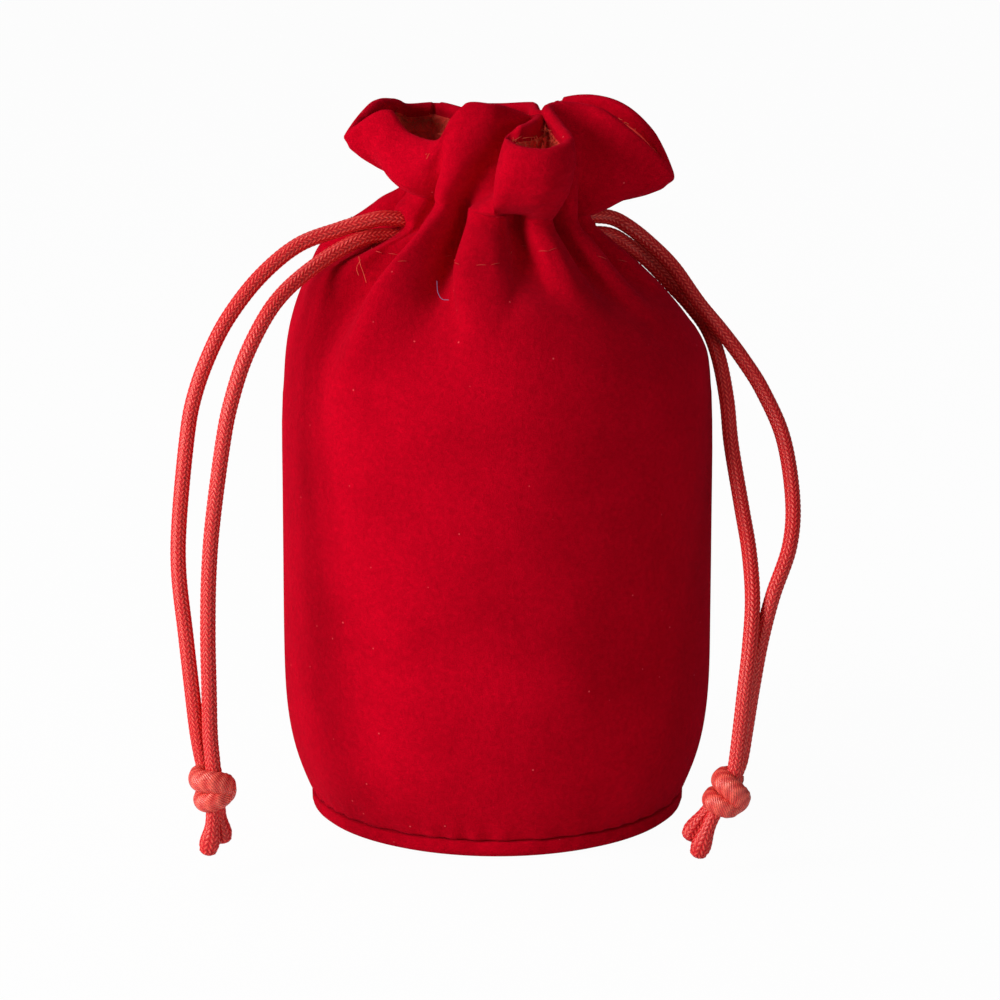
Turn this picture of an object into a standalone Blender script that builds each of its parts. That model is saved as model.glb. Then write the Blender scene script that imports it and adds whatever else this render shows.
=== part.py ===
"""Drawstring pouch in red velvet, standing: a sewn round base, a full body and a gathered neck.

Lengths are in metres, +Z is up, the front faces -Y, and the origin is under the middle of the base.
The wall is one piece of cloth. Its columns run up the body, are drawn into pleats where two cords
cross the neck, and open again into the ruffle above.
"""
import math

import bmesh
import bpy
from mathutils import Matrix, Vector

MM = 0.001

# Gap kept between pieces that touch
GAP = 0.3 * MM

# Cloth
CLOTH_THICKNESS = 1.2 * MM
HEM_THICKNESS = 2.0 * MM

# Body
BODY_RADIUS = 45.0 * MM
BODY_FULL_HEIGHT = 42.0 * MM
FOOT_ROUNDNESS = 3.6
SEAM_RADIUS = 39.0 * MM
SEAM_HEIGHT = 4.4 * MM
FLOOR_RADIUS = 36.5 * MM
ROLL_BULGE = 0.7 * MM
ROLL_FOOT = (0.75, 0.14)
ROLL_WIDEST = 0.5
SEAM_ALLOWANCE = 7.5 * MM
SHOULDER_HEIGHT = 90.0 * MM
# Crest of the pleats from the shoulder up to the pinch: share of the way in, share of the way up
SHOULDER_PROFILE = (
    (0.0, 0.0),
    (0.045, 0.22),
    (0.115, 0.36),
    (0.22, 0.49),
    (0.35, 0.61),
    (0.515, 0.715),
    (0.69, 0.805),
    (0.85, 0.895),
    (0.955, 0.955),
    (1.0, 1.0),
)

# Neck and its channel, before the top leans
NECK_RADIUS = 19.4 * MM
NECK_HEIGHT = 124.0 * MM
PINCH_HEIGHT = NECK_HEIGHT + 6.5 * MM
TOP_LEAN = 0.15
LEAN_RUN = 26.0 * MM

# Cords
CORD_DIAMETER = 3.2 * MM
CORD_LANE_GAP = 0.5 * MM
CORD_RING_RADIUS = 9.4 * MM
CORD_TURN_RADIUS = 6.4 * MM
CREASE_CLEARANCE = 0.6 * MM
CREASE_FLOOR = CORD_RING_RADIUS + CORD_DIAMETER / 2.0 + CREASE_CLEARANCE
CHANNEL_MIDDLE = NECK_HEIGHT + 0.8 * MM
EXIT_CLEARANCE = 0.9 * MM
EXIT_REACH = 6.0 * MM
EXIT_SLOT_DEPTHS = (-4.8 * MM, 12.0 * MM)
LEFT_EXIT_DEG = -157.0
RIGHT_EXIT_DEG = 22.0

# Hollow that the strands press into the shoulder below each exit
BED_DEPTH = 5.4 * MM
BED_HALF_WIDTH_DEG = 14.0
BED_RUN = 16.0 * MM
BED_FADE = 5.0 * MM

# Casing tape behind the channel
TAPE_THICKNESS = 0.8 * MM
TAPE_TOP_SETBACK = 0.3 * MM
TAPE_FOOT_FLARE = 2.0 * MM

# Pleat sharpness: how far the fold sides turn radial, and how much wider a crest is than a crease
FOLD_TURN = 0.74
FOLD_FULLNESS = 0.5

# Creases of the neck, one between each two pleats: angle, depth as a share of the neck's radius,
# run down the shoulder as a share of its height, and how far it swings aside on its way (deg)
CREASES = (
    (-179.0, 0.38, 0.50, 0.0),
    (-138.0, 0.29, 0.74, -3.0),
    (-118.0, 0.47, 0.66, 9.0),
    (-76.0, 0.44, 0.26, 0.0),
    (-44.0, 0.39, 0.30, 4.0),
    (-23.0, 0.33, 0.24, 0.0),
    (4.0, 0.33, 0.39, 0.0),
    (44.0, 0.38, 0.50, 0.0),
    (70.0, 0.44, 0.69, 0.0),
    (98.0, 0.47, 0.34, 0.0),
    (126.0, 0.46, 0.64, 0.0),
    (154.0, 0.43, 0.39, 0.0),
)
SWING_RUN = 15.0 * MM
FOLD_START = 0.3
FOLD_END = 1.25
FOLD_FADE = 0.9

# Broad folds of the shoulder: angle (deg) and height (mm) at both ends, half width (deg), rise (mm)
SHOULDER_FOLDS = (
    ((-127.0, 123.0), (-137.0, 99.0), 5.0, 1.4),
    ((-112.0, 123.0), (-105.0, 106.0), 4.4, -1.4),
    ((167.0, 126.0), (168.0, 108.0), 12.0, 1.8),
)

# Rim of the ruffle above the pinch, before the top leans (mm), from the left tip round by the front
RIM_START_DEG = -178.0
RIM = (
    (-30.0, -4.0, 11.8),
    (-24.0, -7.0, 17.0),
    (-19.4, -8.2, 18.6),
    (-17.2, -8.6, 14.8),
    (-13.6, -11.4, 15.6),
    (-10.2, -12.6, 18.2),
    (-6.2, -13.4, 20.4),
    (-1.0, -13.0, 20.8),
    (2.8, -9.6, 20.2),
    (7.2, -7.6, 18.6),
    (5.0, -13.0, 17.2),
    (1.6, -18.0, 16.0),
    (3.6, -24.0, 15.3),
    (10.0, -26.0, 15.6),
    (15.4, -21.0, 17.6),
    (13.6, -13.4, 19.4),
    (11.6, -7.2, 21.6),
    (17.0, -5.6, 22.1),
    (23.3, -7.0, 21.2),
    (29.8, -6.6, 17.6),
    (34.6, -4.4, 13.6),
    (36.2, 0.2, 11.6),
    (33.0, 4.6, 17.4),
    (27.2, 7.6, 21.6),
    (20.5, 11.5, 22.2),
    (13.3, 17.5, 19.5),
    (9.5, 11.5, 17.5),
    (8.0, 20.0, 17.7),
    (0.5, 25.0, 15.7),
    (-6.5, 24.5, 14.5),
    (-6.5, 14.0, 15.1),
    (-12.5, 20.5, 14.5),
    (-19.5, 18.0, 13.7),
    (-22.5, 11.0, 15.3),
    (-26.5, 4.5, 15.0),
)
HEM_DEPTH = 7.5 * MM
FLARE_REACH = 0.45
FLARE_RISE = 0.28
RIM_RISE = 0.36
LOBE_BELLY = 1.6 * MM
BELLY_SHARE = 0.7

# Lobes of the ruffle that hang over the neck: angle, half width (deg), then how far they hang out,
# aside towards smaller angles, and down (mm)
HANGING_LOBES = (
    (-88.0, 26.0, 5.0, 0.0, 6.0),
    (-98.0, 15.0, 1.0, 3.4, 2.0),
    (-142.0, 22.0, 3.0, 0.0, 2.5),
    (-6.0, 16.0, 2.0, 0.0, 2.0),
    (92.0, 20.0, 2.5, 0.0, 3.0),
    (150.0, 18.0, 2.0, 0.0, 2.5),
)

# Rows of the cloth
LOWER_SHARES = (0.0, 0.04, 0.14, 0.36, 1.0)
RUFFLE_ROWS = 3
COLUMN_DEG = 4.0
MINIMUM_COLUMNS = 6

# Route of each strand from its exit down to its knot (mm)
LEFT_UPPER_ROUTE = (
    (-27.8, -11.6, 127.6), (-32.2, -12.9, 126.5), (-40.5, -16.0, 123.8), (-48.1, -20.0, 118.0),
    (-54.4, -24.0, 110.3), (-58.4, -27.0, 102.7), (-61.2, -29.0, 94.8), (-62.6, -31.0, 87.0),
    (-64.1, -35.0, 71.3), (-64.2, -38.0, 61.0), (-62.8, -41.3, 49.0), (-61.6, -43.5, 38.5),
    (-60.6, -44.6, 29.5), (-59.4, -45.4, 22.9),
)
LEFT_LOWER_ROUTE = (
    (-27.6, -12.6, 124.5), (-33.0, -16.0, 122.3), (-38.7, -20.5, 119.0), (-43.4, -24.8, 115.3),
    (-46.9, -28.0, 110.8), (-50.6, -31.0, 103.6), (-53.2, -33.0, 95.8), (-54.9, -35.0, 88.0),
    (-57.1, -38.0, 72.1), (-58.0, -40.0, 61.0), (-58.2, -42.7, 49.0), (-58.0, -44.9, 38.5),
    (-57.8, -46.8, 29.5), (-57.2, -48.4, 22.9),
)
RIGHT_UPPER_ROUTE = (
    (27.2, 9.4, 123.2), (31.8, 9.0, 119.6), (36.8, 7.2, 114.8), (41.9, 2.6, 108.2),
    (46.6, -2.6, 103.2), (51.0, -6.2, 97.8), (54.9, -10.0, 92.0), (58.8, -16.0, 83.5),
    (60.3, -25.0, 72.9), (59.4, -31.0, 64.5), (55.9, -35.6, 55.5), (53.5, -38.6, 47.0),
    (51.7, -41.4, 38.0), (50.3, -43.4, 29.5), (49.2, -44.8, 23.3),
)
RIGHT_LOWER_ROUTE = (
    (27.2, 11.6, 118.9), (31.8, 12.4, 115.2), (36.4, 11.0, 110.6), (40.4, 8.6, 106.6),
    (43.9, 3.0, 102.6), (46.0, -3.6, 97.6), (47.4, -10.0, 90.3), (48.2, -14.5, 81.9),
    (50.0, -22.0, 71.0), (51.3, -29.5, 63.0), (51.7, -36.6, 55.0), (51.0, -41.4, 46.6),
    (49.9, -44.7, 38.0), (48.9, -46.8, 29.5), (48.0, -48.2, 22.8),
)
ROUTE_STEP = 2.6
ROUTE_PARTS = 12
RING_STEP_DEG = 22.0

# Knots: middle (mm), tilt, and the proportions of the turns to the cord's own diameter
LEFT_KNOT = (-57.5, -48.0, 18.6)
RIGHT_KNOT = (46.8, -48.2, 18.2)
LEFT_KNOT_TILT_DEG = -4.0
RIGHT_KNOT_TILT_DEG = 25.0
KNOT_CORE = (1.03, 0.93, 1.17)
TURN_BULK = 0.55
HIGH_TURN = (0.84, -0.19, 0.48, 14.0)
LOW_TURN = (0.73, 0.06, -0.48, -10.0)
SIDE_LOOP = (0.59, 0.81, 0.0, 90.0)
TAIL_LENGTH = 12.0 * MM
TAIL_APART = 0.45
TAIL_SPLAY_DEG = 10.0
TAIL_FLARE = 1.12
ROUND_SIDES = 8
TURN_STEPS = 16
BASE_STEPS = 40
TAPE_STEPS = 32

VELVET = (0.55, 0.006, 0.022)
CORD_RED = (0.62, 0.03, 0.02)
TAPE_RED = (0.52, 0.03, 0.015)


def clear_scene():
    """Start from an empty file."""
    for item in list(bpy.data.objects):
        bpy.data.objects.remove(item, do_unlink=True)


def make_material(name, color, roughness, sheen):
    """A plain cloth finish."""
    material = bpy.data.materials.new(name)
    material.use_nodes = True
    shader = material.node_tree.nodes["Principled BSDF"]
    shader.inputs["Base Color"].default_value = (*color, 1.0)
    shader.inputs["Roughness"].default_value = roughness
    shader.inputs["Metallic"].default_value = 0.0
    shader.inputs["Sheen Weight"].default_value = sheen
    return material


def smooth_step(value):
    """0 below 0, 1 above 1, eased between."""
    value = min(1.0, max(0.0, value))
    return value * value * (3.0 - 2.0 * value)


def leaned(point):
    """A point after the gathered top has leaned: the left side stands higher than the right."""
    share = smooth_step((point.z - SHOULDER_HEIGHT) / LEAN_RUN)
    return Vector((point.x, point.y, point.z - TOP_LEAN * share * point.x))


def smooth_point(before, start, end, after, share):
    """A point on a smooth curve through four others, between the second and the third."""
    square = share * share
    cube = square * share
    return 0.5 * (
        2.0 * start
        + (end - before) * share
        + (2.0 * before - 5.0 * start + 4.0 * end - after) * square
        + (3.0 * start - before - 3.0 * end + after) * cube
    )


def add_object(name, mesh, material):
    """Link a mesh as a named object."""
    mesh.materials.append(material)
    item = bpy.data.objects.new(name, mesh)
    bpy.context.scene.collection.objects.link(item)
    return item


def turned_mesh(name, section, segments):
    """A solid turned about Z from a closed section of (radius, height) points."""
    shape = bmesh.new()
    points = [shape.verts.new((radius, 0.0, height)) for radius, height in section]
    edges = [shape.edges.new((points[i - 1], points[i])) for i in range(len(points))]
    bmesh.ops.spin(
        shape, geom=points + edges, cent=(0, 0, 0), axis=(0, 0, 1),
        angle=math.tau, steps=segments, use_merge=True,
    )
    bmesh.ops.remove_doubles(shape, verts=shape.verts, dist=0.00001)
    bmesh.ops.recalc_face_normals(shape, faces=shape.faces)
    mesh = bpy.data.meshes.new(name)
    shape.to_mesh(mesh)
    shape.free()
    mesh.shade_smooth()
    return mesh


# Wall


def column_places():
    """Each column of the cloth: its pleat, and its share of the way across that pleat."""
    places = []
    for index, crease in enumerate(CREASES):
        following = CREASES[(index + 1) % len(CREASES)]
        width = (following[0] - crease[0]) % 360.0
        count = max(MINIMUM_COLUMNS, 2 * round(width / COLUMN_DEG / 2.0))
        places += [(crease, following, width, step / count) for step in range(count)]
    return places


def cord_bed(angle, height):
    """How far the strands press the shoulder in, at an angle and height."""
    rising = smooth_step((height - NECK_HEIGHT + BED_RUN) / BED_RUN)
    ending = smooth_step((CHANNEL_MIDDLE + CORD_DIAMETER - height) / BED_FADE)
    depth = 0.0
    for exit_deg in (LEFT_EXIT_DEG, RIGHT_EXIT_DEG):
        aside = (angle - exit_deg + 180.0) % 360.0 - 180.0
        depth += BED_DEPTH * math.exp(-(aside / BED_HALF_WIDTH_DEG) ** 2)
    return depth * rising * ending


def shoulder_fold(angle, height):
    """How far the broad folds lift the shoulder at an angle and height."""
    lift = 0.0
    for start, end, half_width, rise in SHOULDER_FOLDS:
        along = (start[1] * MM - height) / ((start[1] - end[1]) * MM)
        middle = start[0] + (end[0] - start[0]) * along
        aside = (angle - middle + 180.0) % 360.0 - 180.0
        shape = math.exp(-(aside / (half_width * (1.0 + max(0.0, along)))) ** 2)
        ends = smooth_step(along / FOLD_START + 1.0) * smooth_step((FOLD_END - along) / FOLD_FADE)
        lift += rise * MM * shape * ends
    return lift


def gathered_point(column, radius, height):
    """Where one column of the cloth lies at the given crest radius and height."""
    crease, following, width, share = column
    ease = smooth_step(share)
    room = radius - CLOTH_THICKNESS - CREASE_FLOOR
    depth = min(room, (crease[1] + (following[1] - crease[1]) * ease) * NECK_RADIUS)
    run = (crease[2] + (following[2] - crease[2]) * ease) * (PINCH_HEIGHT - SHOULDER_HEIGHT)
    swing = crease[3] + (following[3] - crease[3]) * ease
    drawn = smooth_step((height - NECK_HEIGHT + run) / run)
    valley = 0.5 + 0.5 * math.cos(math.tau * share)
    phase = math.tau * (share - 0.5)
    turn = 0.5 * FOLD_TURN * math.sin(2.0 * phase) + FOLD_FULLNESS * math.sin(phase)
    aside = swing * smooth_step((NECK_HEIGHT - height) / SWING_RUN)
    degrees = crease[0] + width * (0.5 + (phase + drawn * turn) / math.tau) + aside
    angle = math.radians(degrees)
    reach = radius - depth * drawn * valley - cord_bed(degrees, height) + shoulder_fold(degrees, height)
    return Vector((reach * math.cos(angle), reach * math.sin(angle), height))


def body_rows():
    """Crest radius and height of each row, from the base seam up to the pinch."""
    rows = []
    for share in LOWER_SHARES:
        height = SEAM_HEIGHT + share * (BODY_FULL_HEIGHT - SEAM_HEIGHT)
        radius = BODY_RADIUS - (BODY_RADIUS - SEAM_RADIUS) * (1.0 - share) ** FOOT_ROUNDNESS
        rows.append((radius, height))
    for inwards, upwards in SHOULDER_PROFILE:
        rows.append((
            BODY_RADIUS - (BODY_RADIUS - NECK_RADIUS) * inwards,
            SHOULDER_HEIGHT + (PINCH_HEIGHT - SHOULDER_HEIGHT) * upwards,
        ))
    return rows


def rim_curve():
    """The rim as a function of the cloth's own angle, its points spaced by their distances."""
    pinch = Vector((0.0, 0.0, PINCH_HEIGHT))
    points = [pinch + Vector(point) * MM for point in RIM]
    count = len(points)
    steps = [(points[(i + 1) % count] - points[i]).length for i in range(count)]
    around = [0.0]
    for step in steps:
        around.append(around[-1] + 360.0 * step / sum(steps))

    def point_at(angle):
        turn = (angle - RIM_START_DEG) % 360.0
        index = max(i for i in range(count) if around[i] <= turn)
        share = (turn - around[index]) / (around[index + 1] - around[index])
        near = [points[(index + offset) % count] for offset in (-1, 0, 1, 2)]
        return smooth_point(*near, share)

    return point_at


def hanging(angle):
    """How far out, aside and down the ruffle hangs at an angle of the cloth."""
    total = Vector((0.0, 0.0, 0.0))
    for middle, half_width, *reach in HANGING_LOBES:
        away = (angle - middle + 180.0) % 360.0 - 180.0
        total += Vector(reach) * MM * math.exp(-(away / half_width) ** 2)
    return total


def ruffle_point(start, rim, angle, share):
    """A point of the ruffle between the pinch and the rim, on a curve that opens outwards."""
    rise = Vector((0.0, 0.0, rim.z - start.z))
    gain = max(0.0, rim.xy.length - start.xy.length)
    outward = Vector((rim.x, rim.y, 0.0)).normalized()
    aside = Vector((outward.y, -outward.x, 0.0))
    hang = hanging(angle)
    sag = outward * hang.x + aside * hang.y - Vector((0.0, 0.0, hang.z))
    first = start + outward * gain * FLARE_REACH + rise * FLARE_RISE + sag
    second = rim - rise * RIM_RISE + outward * LOBE_BELLY + (outward * hang.x + aside * hang.y) * BELLY_SHARE
    rest = 1.0 - share
    return (
        start * rest ** 3
        + first * 3.0 * rest * rest * share
        + second * 3.0 * rest * share * share
        + rim * share ** 3
    )


def make_wall(material):
    """The velvet tube from the base seam to the rim, pleated at the neck, with its turned-in hem."""
    columns = column_places()
    rim_at = rim_curve()
    rows = [[gathered_point(column, *row) for column in columns] for row in body_rows()]
    angles = [crease[0] + width * share for crease, _, width, share in columns]
    rims = [rim_at(angle) for angle in angles]
    ruffle_height = sum(rim.z for rim in rims) / len(rims) - PINCH_HEIGHT
    hem_share = 1.0 - HEM_DEPTH / ruffle_height
    edge_share = hem_share + 2.0 * (HEM_THICKNESS - CLOTH_THICKNESS) / ruffle_height
    shares = [hem_share * row / RUFFLE_ROWS for row in range(1, RUFFLE_ROWS + 1)]
    shares += [edge_share, (1.0 + edge_share) / 2.0, 1.0]
    pinch = rows[-1]
    for share in shares:
        rows.append([ruffle_point(*place, share) for place in zip(pinch, rims, angles)])

    shape = bmesh.new()
    grid = [[shape.verts.new(leaned(point)) for point in row] for row in rows]
    for lower, upper in zip(grid, grid[1:]):
        for i in range(len(columns)):
            shape.faces.new((lower[i - 1], lower[i], upper[i], upper[i - 1]))
    bmesh.ops.recalc_face_normals(shape, faces=shape.faces)
    mesh = bpy.data.meshes.new("pouch_wall")
    shape.to_mesh(mesh)
    shape.free()
    mesh.shade_smooth()
    wall = add_object("pouch_wall", mesh, material)

    hem = wall.vertex_groups.new(name="hem")
    cloth = len(columns) * (len(rows) - 3)
    hem.add(range(cloth, len(mesh.vertices)), 1.0, "REPLACE")
    thickness = wall.modifiers.new("Cloth", "SOLIDIFY")
    thickness.thickness = HEM_THICKNESS
    thickness.offset = -1.0
    thickness.vertex_group = hem.name
    thickness.thickness_vertex_group = CLOTH_THICKNESS / HEM_THICKNESS

    for side, angle, lane in (("left", LEFT_EXIT_DEG, 0), ("right", RIGHT_EXIT_DEG, 1)):
        slot = wall.modifiers.new(side + " exit", "BOOLEAN")
        slot.operation = "DIFFERENCE"
        slot.solver = "EXACT"
        slot.object = exit_cutter(side + "_exit_cutter", angle, lane)
    return wall


# Base and casing tape


def make_base(material):
    """The round base: flat under, rolled over its seam, with its allowance standing inside the wall."""
    roll_radius = SEAM_RADIUS + ROLL_BULGE
    roll_top = SEAM_HEIGHT - GAP
    allowance = SEAM_RADIUS - CLOTH_THICKNESS - GAP
    inside = allowance - CLOTH_THICKNESS
    top = SEAM_HEIGHT + SEAM_ALLOWANCE
    section = [
        (0.0, 0.0),
        (FLOOR_RADIUS, 0.0),
        (FLOOR_RADIUS + ROLL_FOOT[0] * (roll_radius - FLOOR_RADIUS), ROLL_FOOT[1] * roll_top),
        (roll_radius, ROLL_WIDEST * roll_top),
        (SEAM_RADIUS, roll_top),
        (allowance, roll_top),
        (allowance, top),
        (inside, top),
        (inside, 2.0 * CLOTH_THICKNESS),
        (inside - CLOTH_THICKNESS, CLOTH_THICKNESS),
        (0.0, CLOTH_THICKNESS),
    ]
    return add_object("base_disc", turned_mesh("base_disc", section, BASE_STEPS), material)


def lane_height(lane):
    """Height of a lane of the channel before the lean: 0 is the lowest, 2 the highest."""
    return CHANNEL_MIDDLE + (lane - 1) * (CORD_DIAMETER + CORD_LANE_GAP)


def make_tape(material):
    """The casing tape: a band inside the neck, its edges turned out to the creases of the wall."""
    bore = CORD_RING_RADIUS - CORD_DIAMETER / 2.0 - GAP
    low = lane_height(0) - CORD_DIAMETER / 2.0 - GAP
    high = lane_height(2) + CORD_DIAMETER / 2.0 + GAP
    seat = CREASE_FLOOR - GAP
    top = seat - TAPE_TOP_SETBACK
    foot = seat + TAPE_FOOT_FLARE
    section = [
        (bore - TAPE_THICKNESS, low - TAPE_THICKNESS),
        (foot, low - TAPE_THICKNESS),
        (foot, low),
        (bore, low),
        (bore, high),
        (top, high),
        (top, high + TAPE_THICKNESS),
        (bore - TAPE_THICKNESS, high + TAPE_THICKNESS),
    ]
    mesh = turned_mesh("channel_tape", section, TAPE_STEPS)
    for vertex in mesh.vertices:
        vertex.co = leaned(vertex.co)
    return add_object("channel_tape", mesh, material)


def exit_cutter(name, angle, lane):
    """The slot that two strands, one above the other, leave the pleat by."""
    width = CORD_DIAMETER + 2.0 * EXIT_CLEARANCE
    tall = 2.0 * CORD_DIAMETER + CORD_LANE_GAP + 2.0 * EXIT_CLEARANCE
    middle = (lane_height(lane) + lane_height(lane + 1)) / 2.0
    inner, outer = [NECK_RADIUS + depth for depth in EXIT_SLOT_DEPTHS]
    shape = bmesh.new()
    bmesh.ops.create_cube(shape, size=1.0)
    turn = math.radians(angle)
    for vertex in shape.verts:
        along = inner + (outer - inner) * (vertex.co.x + 0.5)
        across = width * vertex.co.y
        vertex.co = leaned(Vector((
            along * math.cos(turn) - across * math.sin(turn),
            along * math.sin(turn) + across * math.cos(turn),
            middle + tall * vertex.co.z,
        )))
    mesh = bpy.data.meshes.new(name)
    shape.to_mesh(mesh)
    shape.free()
    cutter = bpy.data.objects.new(name, mesh)
    cutter.hide_render = True
    cutter.display_type = "WIRE"
    bpy.context.scene.collection.objects.link(cutter)
    return cutter


# Cords


def channel_points(exit_deg, lane, step_from):
    """One cord in the channel: in by its exit, round the neck and out again, one lane lower.

    It steps down along the half turn that begins at step_from degrees past its exit.
    """
    start = math.radians(exit_deg)
    along = math.sqrt((CORD_RING_RADIUS + CORD_TURN_RADIUS) ** 2 - CORD_TURN_RADIUS ** 2)
    meet = math.atan2(CORD_TURN_RADIUS, along)

    def placed(forward, aside, height):
        return leaned(Vector((
            forward * math.cos(start) - aside * math.sin(start),
            forward * math.sin(start) + aside * math.cos(start),
            height,
        )))

    outer = NECK_RADIUS + EXIT_REACH
    half_turn = 0.5 * meet - 0.75 * math.pi
    veer = (along + CORD_TURN_RADIUS * math.cos(half_turn),
            CORD_TURN_RADIUS + CORD_TURN_RADIUS * math.sin(half_turn))
    high = lane_height(lane)
    low = lane_height(lane - 1)
    points = [placed(outer, 0.0, high), placed(0.5 * (outer + along), 0.0, high)]
    points += [placed(along, 0.0, high), placed(veer[0], veer[1], high)]
    steps = round((360.0 - 2.0 * math.degrees(meet)) / RING_STEP_DEG)
    for step in range(steps + 1):
        turn = meet + (math.tau - 2.0 * meet) * step / steps
        height = high + (low - high) * smooth_step((math.degrees(turn) - step_from) / 180.0)
        points.append(placed(
            CORD_RING_RADIUS * math.cos(turn), CORD_RING_RADIUS * math.sin(turn), height))
    points += [placed(veer[0], -veer[1], low), placed(along, 0.0, low)]
    points += [placed(0.5 * (outer + along), 0.0, low), placed(outer, 0.0, low)]
    return points


def spaced(points, step):
    """Points at even distances along a smooth curve through the given ones."""
    fine = []
    for i in range(len(points) - 1):
        near = [points[max(0, i - 1)], points[i], points[i + 1], points[min(len(points) - 1, i + 2)]]
        fine += [smooth_point(*near, part / ROUTE_PARTS) for part in range(ROUTE_PARTS)]
    fine.append(points[-1])
    length = sum((b - a).length for a, b in zip(fine, fine[1:]))
    count = round(length / step)
    result = [fine[0]]
    walked = 0.0
    for a, b in zip(fine, fine[1:]):
        piece = (b - a).length
        while len(result) < count and walked + piece >= length * len(result) / count:
            share = (length * len(result) / count - walked) / piece
            result.append(a.lerp(b, share))
        walked += piece
    result.append(fine[-1])
    return result


def make_cord(name, channel, first, second, material):
    """One cord: up a strand, round the neck in its channel and down the other strand."""
    up = [Vector(point) * MM for point in reversed(first)]
    down = [Vector(point) * MM for point in second]
    step = ROUTE_STEP * CORD_DIAMETER
    rising = spaced(up + channel[:3], step)
    falling = spaced(channel[-3:] + down, step)
    points = rising + channel[3:-3] + falling
    curve = bpy.data.curves.new(name, "CURVE")
    curve.dimensions = "3D"
    curve.bevel_depth = CORD_DIAMETER / 2.0
    curve.bevel_resolution = 2
    curve.use_fill_caps = True
    spline = curve.splines.new("POLY")
    spline.points.add(len(points) - 1)
    for target, point in zip(spline.points, points):
        target.co = (*point, 1.0)
    return add_object(name, curve, material)


# Knots


def knot_helper(name, mesh, place):
    """A helper solid for a knot, hidden from the render and drawn as wire."""
    mesh.transform(place)
    item = bpy.data.objects.new(name, mesh)
    item.hide_render = True
    item.display_type = "WIRE"
    bpy.context.scene.collection.objects.link(item)
    return item


def turn_mesh(name, radius):
    """One turn of cord, closed on itself about Z."""
    bulk = TURN_BULK * CORD_DIAMETER
    section = [
        (radius + bulk * math.cos(turn), bulk * math.sin(turn))
        for turn in (math.tau * side / ROUND_SIDES for side in range(ROUND_SIDES))
    ]
    return turned_mesh(name, section, TURN_STEPS)


def tail_mesh(name):
    """A cut end of cord, hanging down from the origin and a little wider at its foot."""
    shape = bmesh.new()
    bmesh.ops.create_cone(
        shape, cap_ends=True, segments=ROUND_SIDES, radius1=CORD_DIAMETER * TAIL_FLARE / 2.0,
        radius2=CORD_DIAMETER / 2.0, depth=TAIL_LENGTH,
        matrix=Matrix.Translation((0.0, 0.0, -TAIL_LENGTH / 2.0)),
    )
    mesh = bpy.data.meshes.new(name)
    shape.to_mesh(mesh)
    shape.free()
    return mesh


def core_mesh(name):
    """The middle of a knot, where the strands cross."""
    shape = bmesh.new()
    bmesh.ops.create_uvsphere(
        shape, u_segments=12, v_segments=ROUND_SIDES, radius=CORD_DIAMETER)
    mesh = bpy.data.meshes.new(name)
    shape.to_mesh(mesh)
    shape.free()
    mesh.transform(Matrix.Diagonal((*KNOT_CORE, 1.0)))
    return mesh


def make_knot(name, place_mm, tilt_deg, material):
    """Both strands tied in one overhand knot: two turns, a side loop and two cut tails."""
    tilt = Matrix.Rotation(math.radians(tilt_deg), 4, "Y")
    place = Matrix.Translation(Vector(place_mm) * MM) @ tilt
    core = core_mesh(name)
    core.transform(place)
    knot = add_object(name, core, material)
    pieces = []
    for turn, axis in ((HIGH_TURN, "Y"), (LOW_TURN, "Y"), (SIDE_LOOP, "X")):
        radius, aside, up, lean_deg = turn
        shift = Matrix.Translation(Vector((aside, 0.0, up)) * CORD_DIAMETER)
        pieces.append((
            turn_mesh(name + "_turn", radius * CORD_DIAMETER),
            shift @ Matrix.Rotation(math.radians(lean_deg), 4, axis),
        ))
    for side in (-1.0, 1.0):
        shift = Matrix.Translation(
            Vector((side * TAIL_APART, -side * TAIL_APART / 4.0, LOW_TURN[2])) * CORD_DIAMETER)
        pieces.append((
            tail_mesh(name + "_tail"),
            shift @ Matrix.Rotation(math.radians(side * TAIL_SPLAY_DEG), 4, "Y"),
        ))
    for mesh, local in pieces:
        join = knot.modifiers.new("Join", "BOOLEAN")
        join.operation = "UNION"
        join.solver = "EXACT"
        join.object = knot_helper(mesh.name, mesh, place @ local)
    return knot


def main():
    """Build every piece of the pouch."""
    clear_scene()
    velvet = make_material("velvet", VELVET, 0.85, 0.6)
    cord = make_material("braided_cord", CORD_RED, 0.4, 0.1)
    tape = make_material("casing_tape", TAPE_RED, 0.75, 0.2)
    make_wall(velvet)
    make_base(velvet)
    make_tape(tape)
    left_channel = channel_points(LEFT_EXIT_DEG, 1, 0.0)
    right_channel = channel_points(RIGHT_EXIT_DEG, 2, 180.0)
    make_cord("left_cord", left_channel, LEFT_UPPER_ROUTE, LEFT_LOWER_ROUTE, cord)
    make_cord("right_cord", right_channel, RIGHT_UPPER_ROUTE, RIGHT_LOWER_ROUTE, cord)
    make_knot("left_knot", LEFT_KNOT, LEFT_KNOT_TILT_DEG, cord)
    make_knot("right_knot", RIGHT_KNOT, RIGHT_KNOT_TILT_DEG, cord)


main()
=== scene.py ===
"""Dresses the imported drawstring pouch: velvet pile, turned-in hem, stitches, braided cords, tied ends."""
import math

import bpy
import numpy as np
from bpy.props import FloatProperty, FloatVectorProperty, PointerProperty
from mathutils import Matrix, Vector


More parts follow.
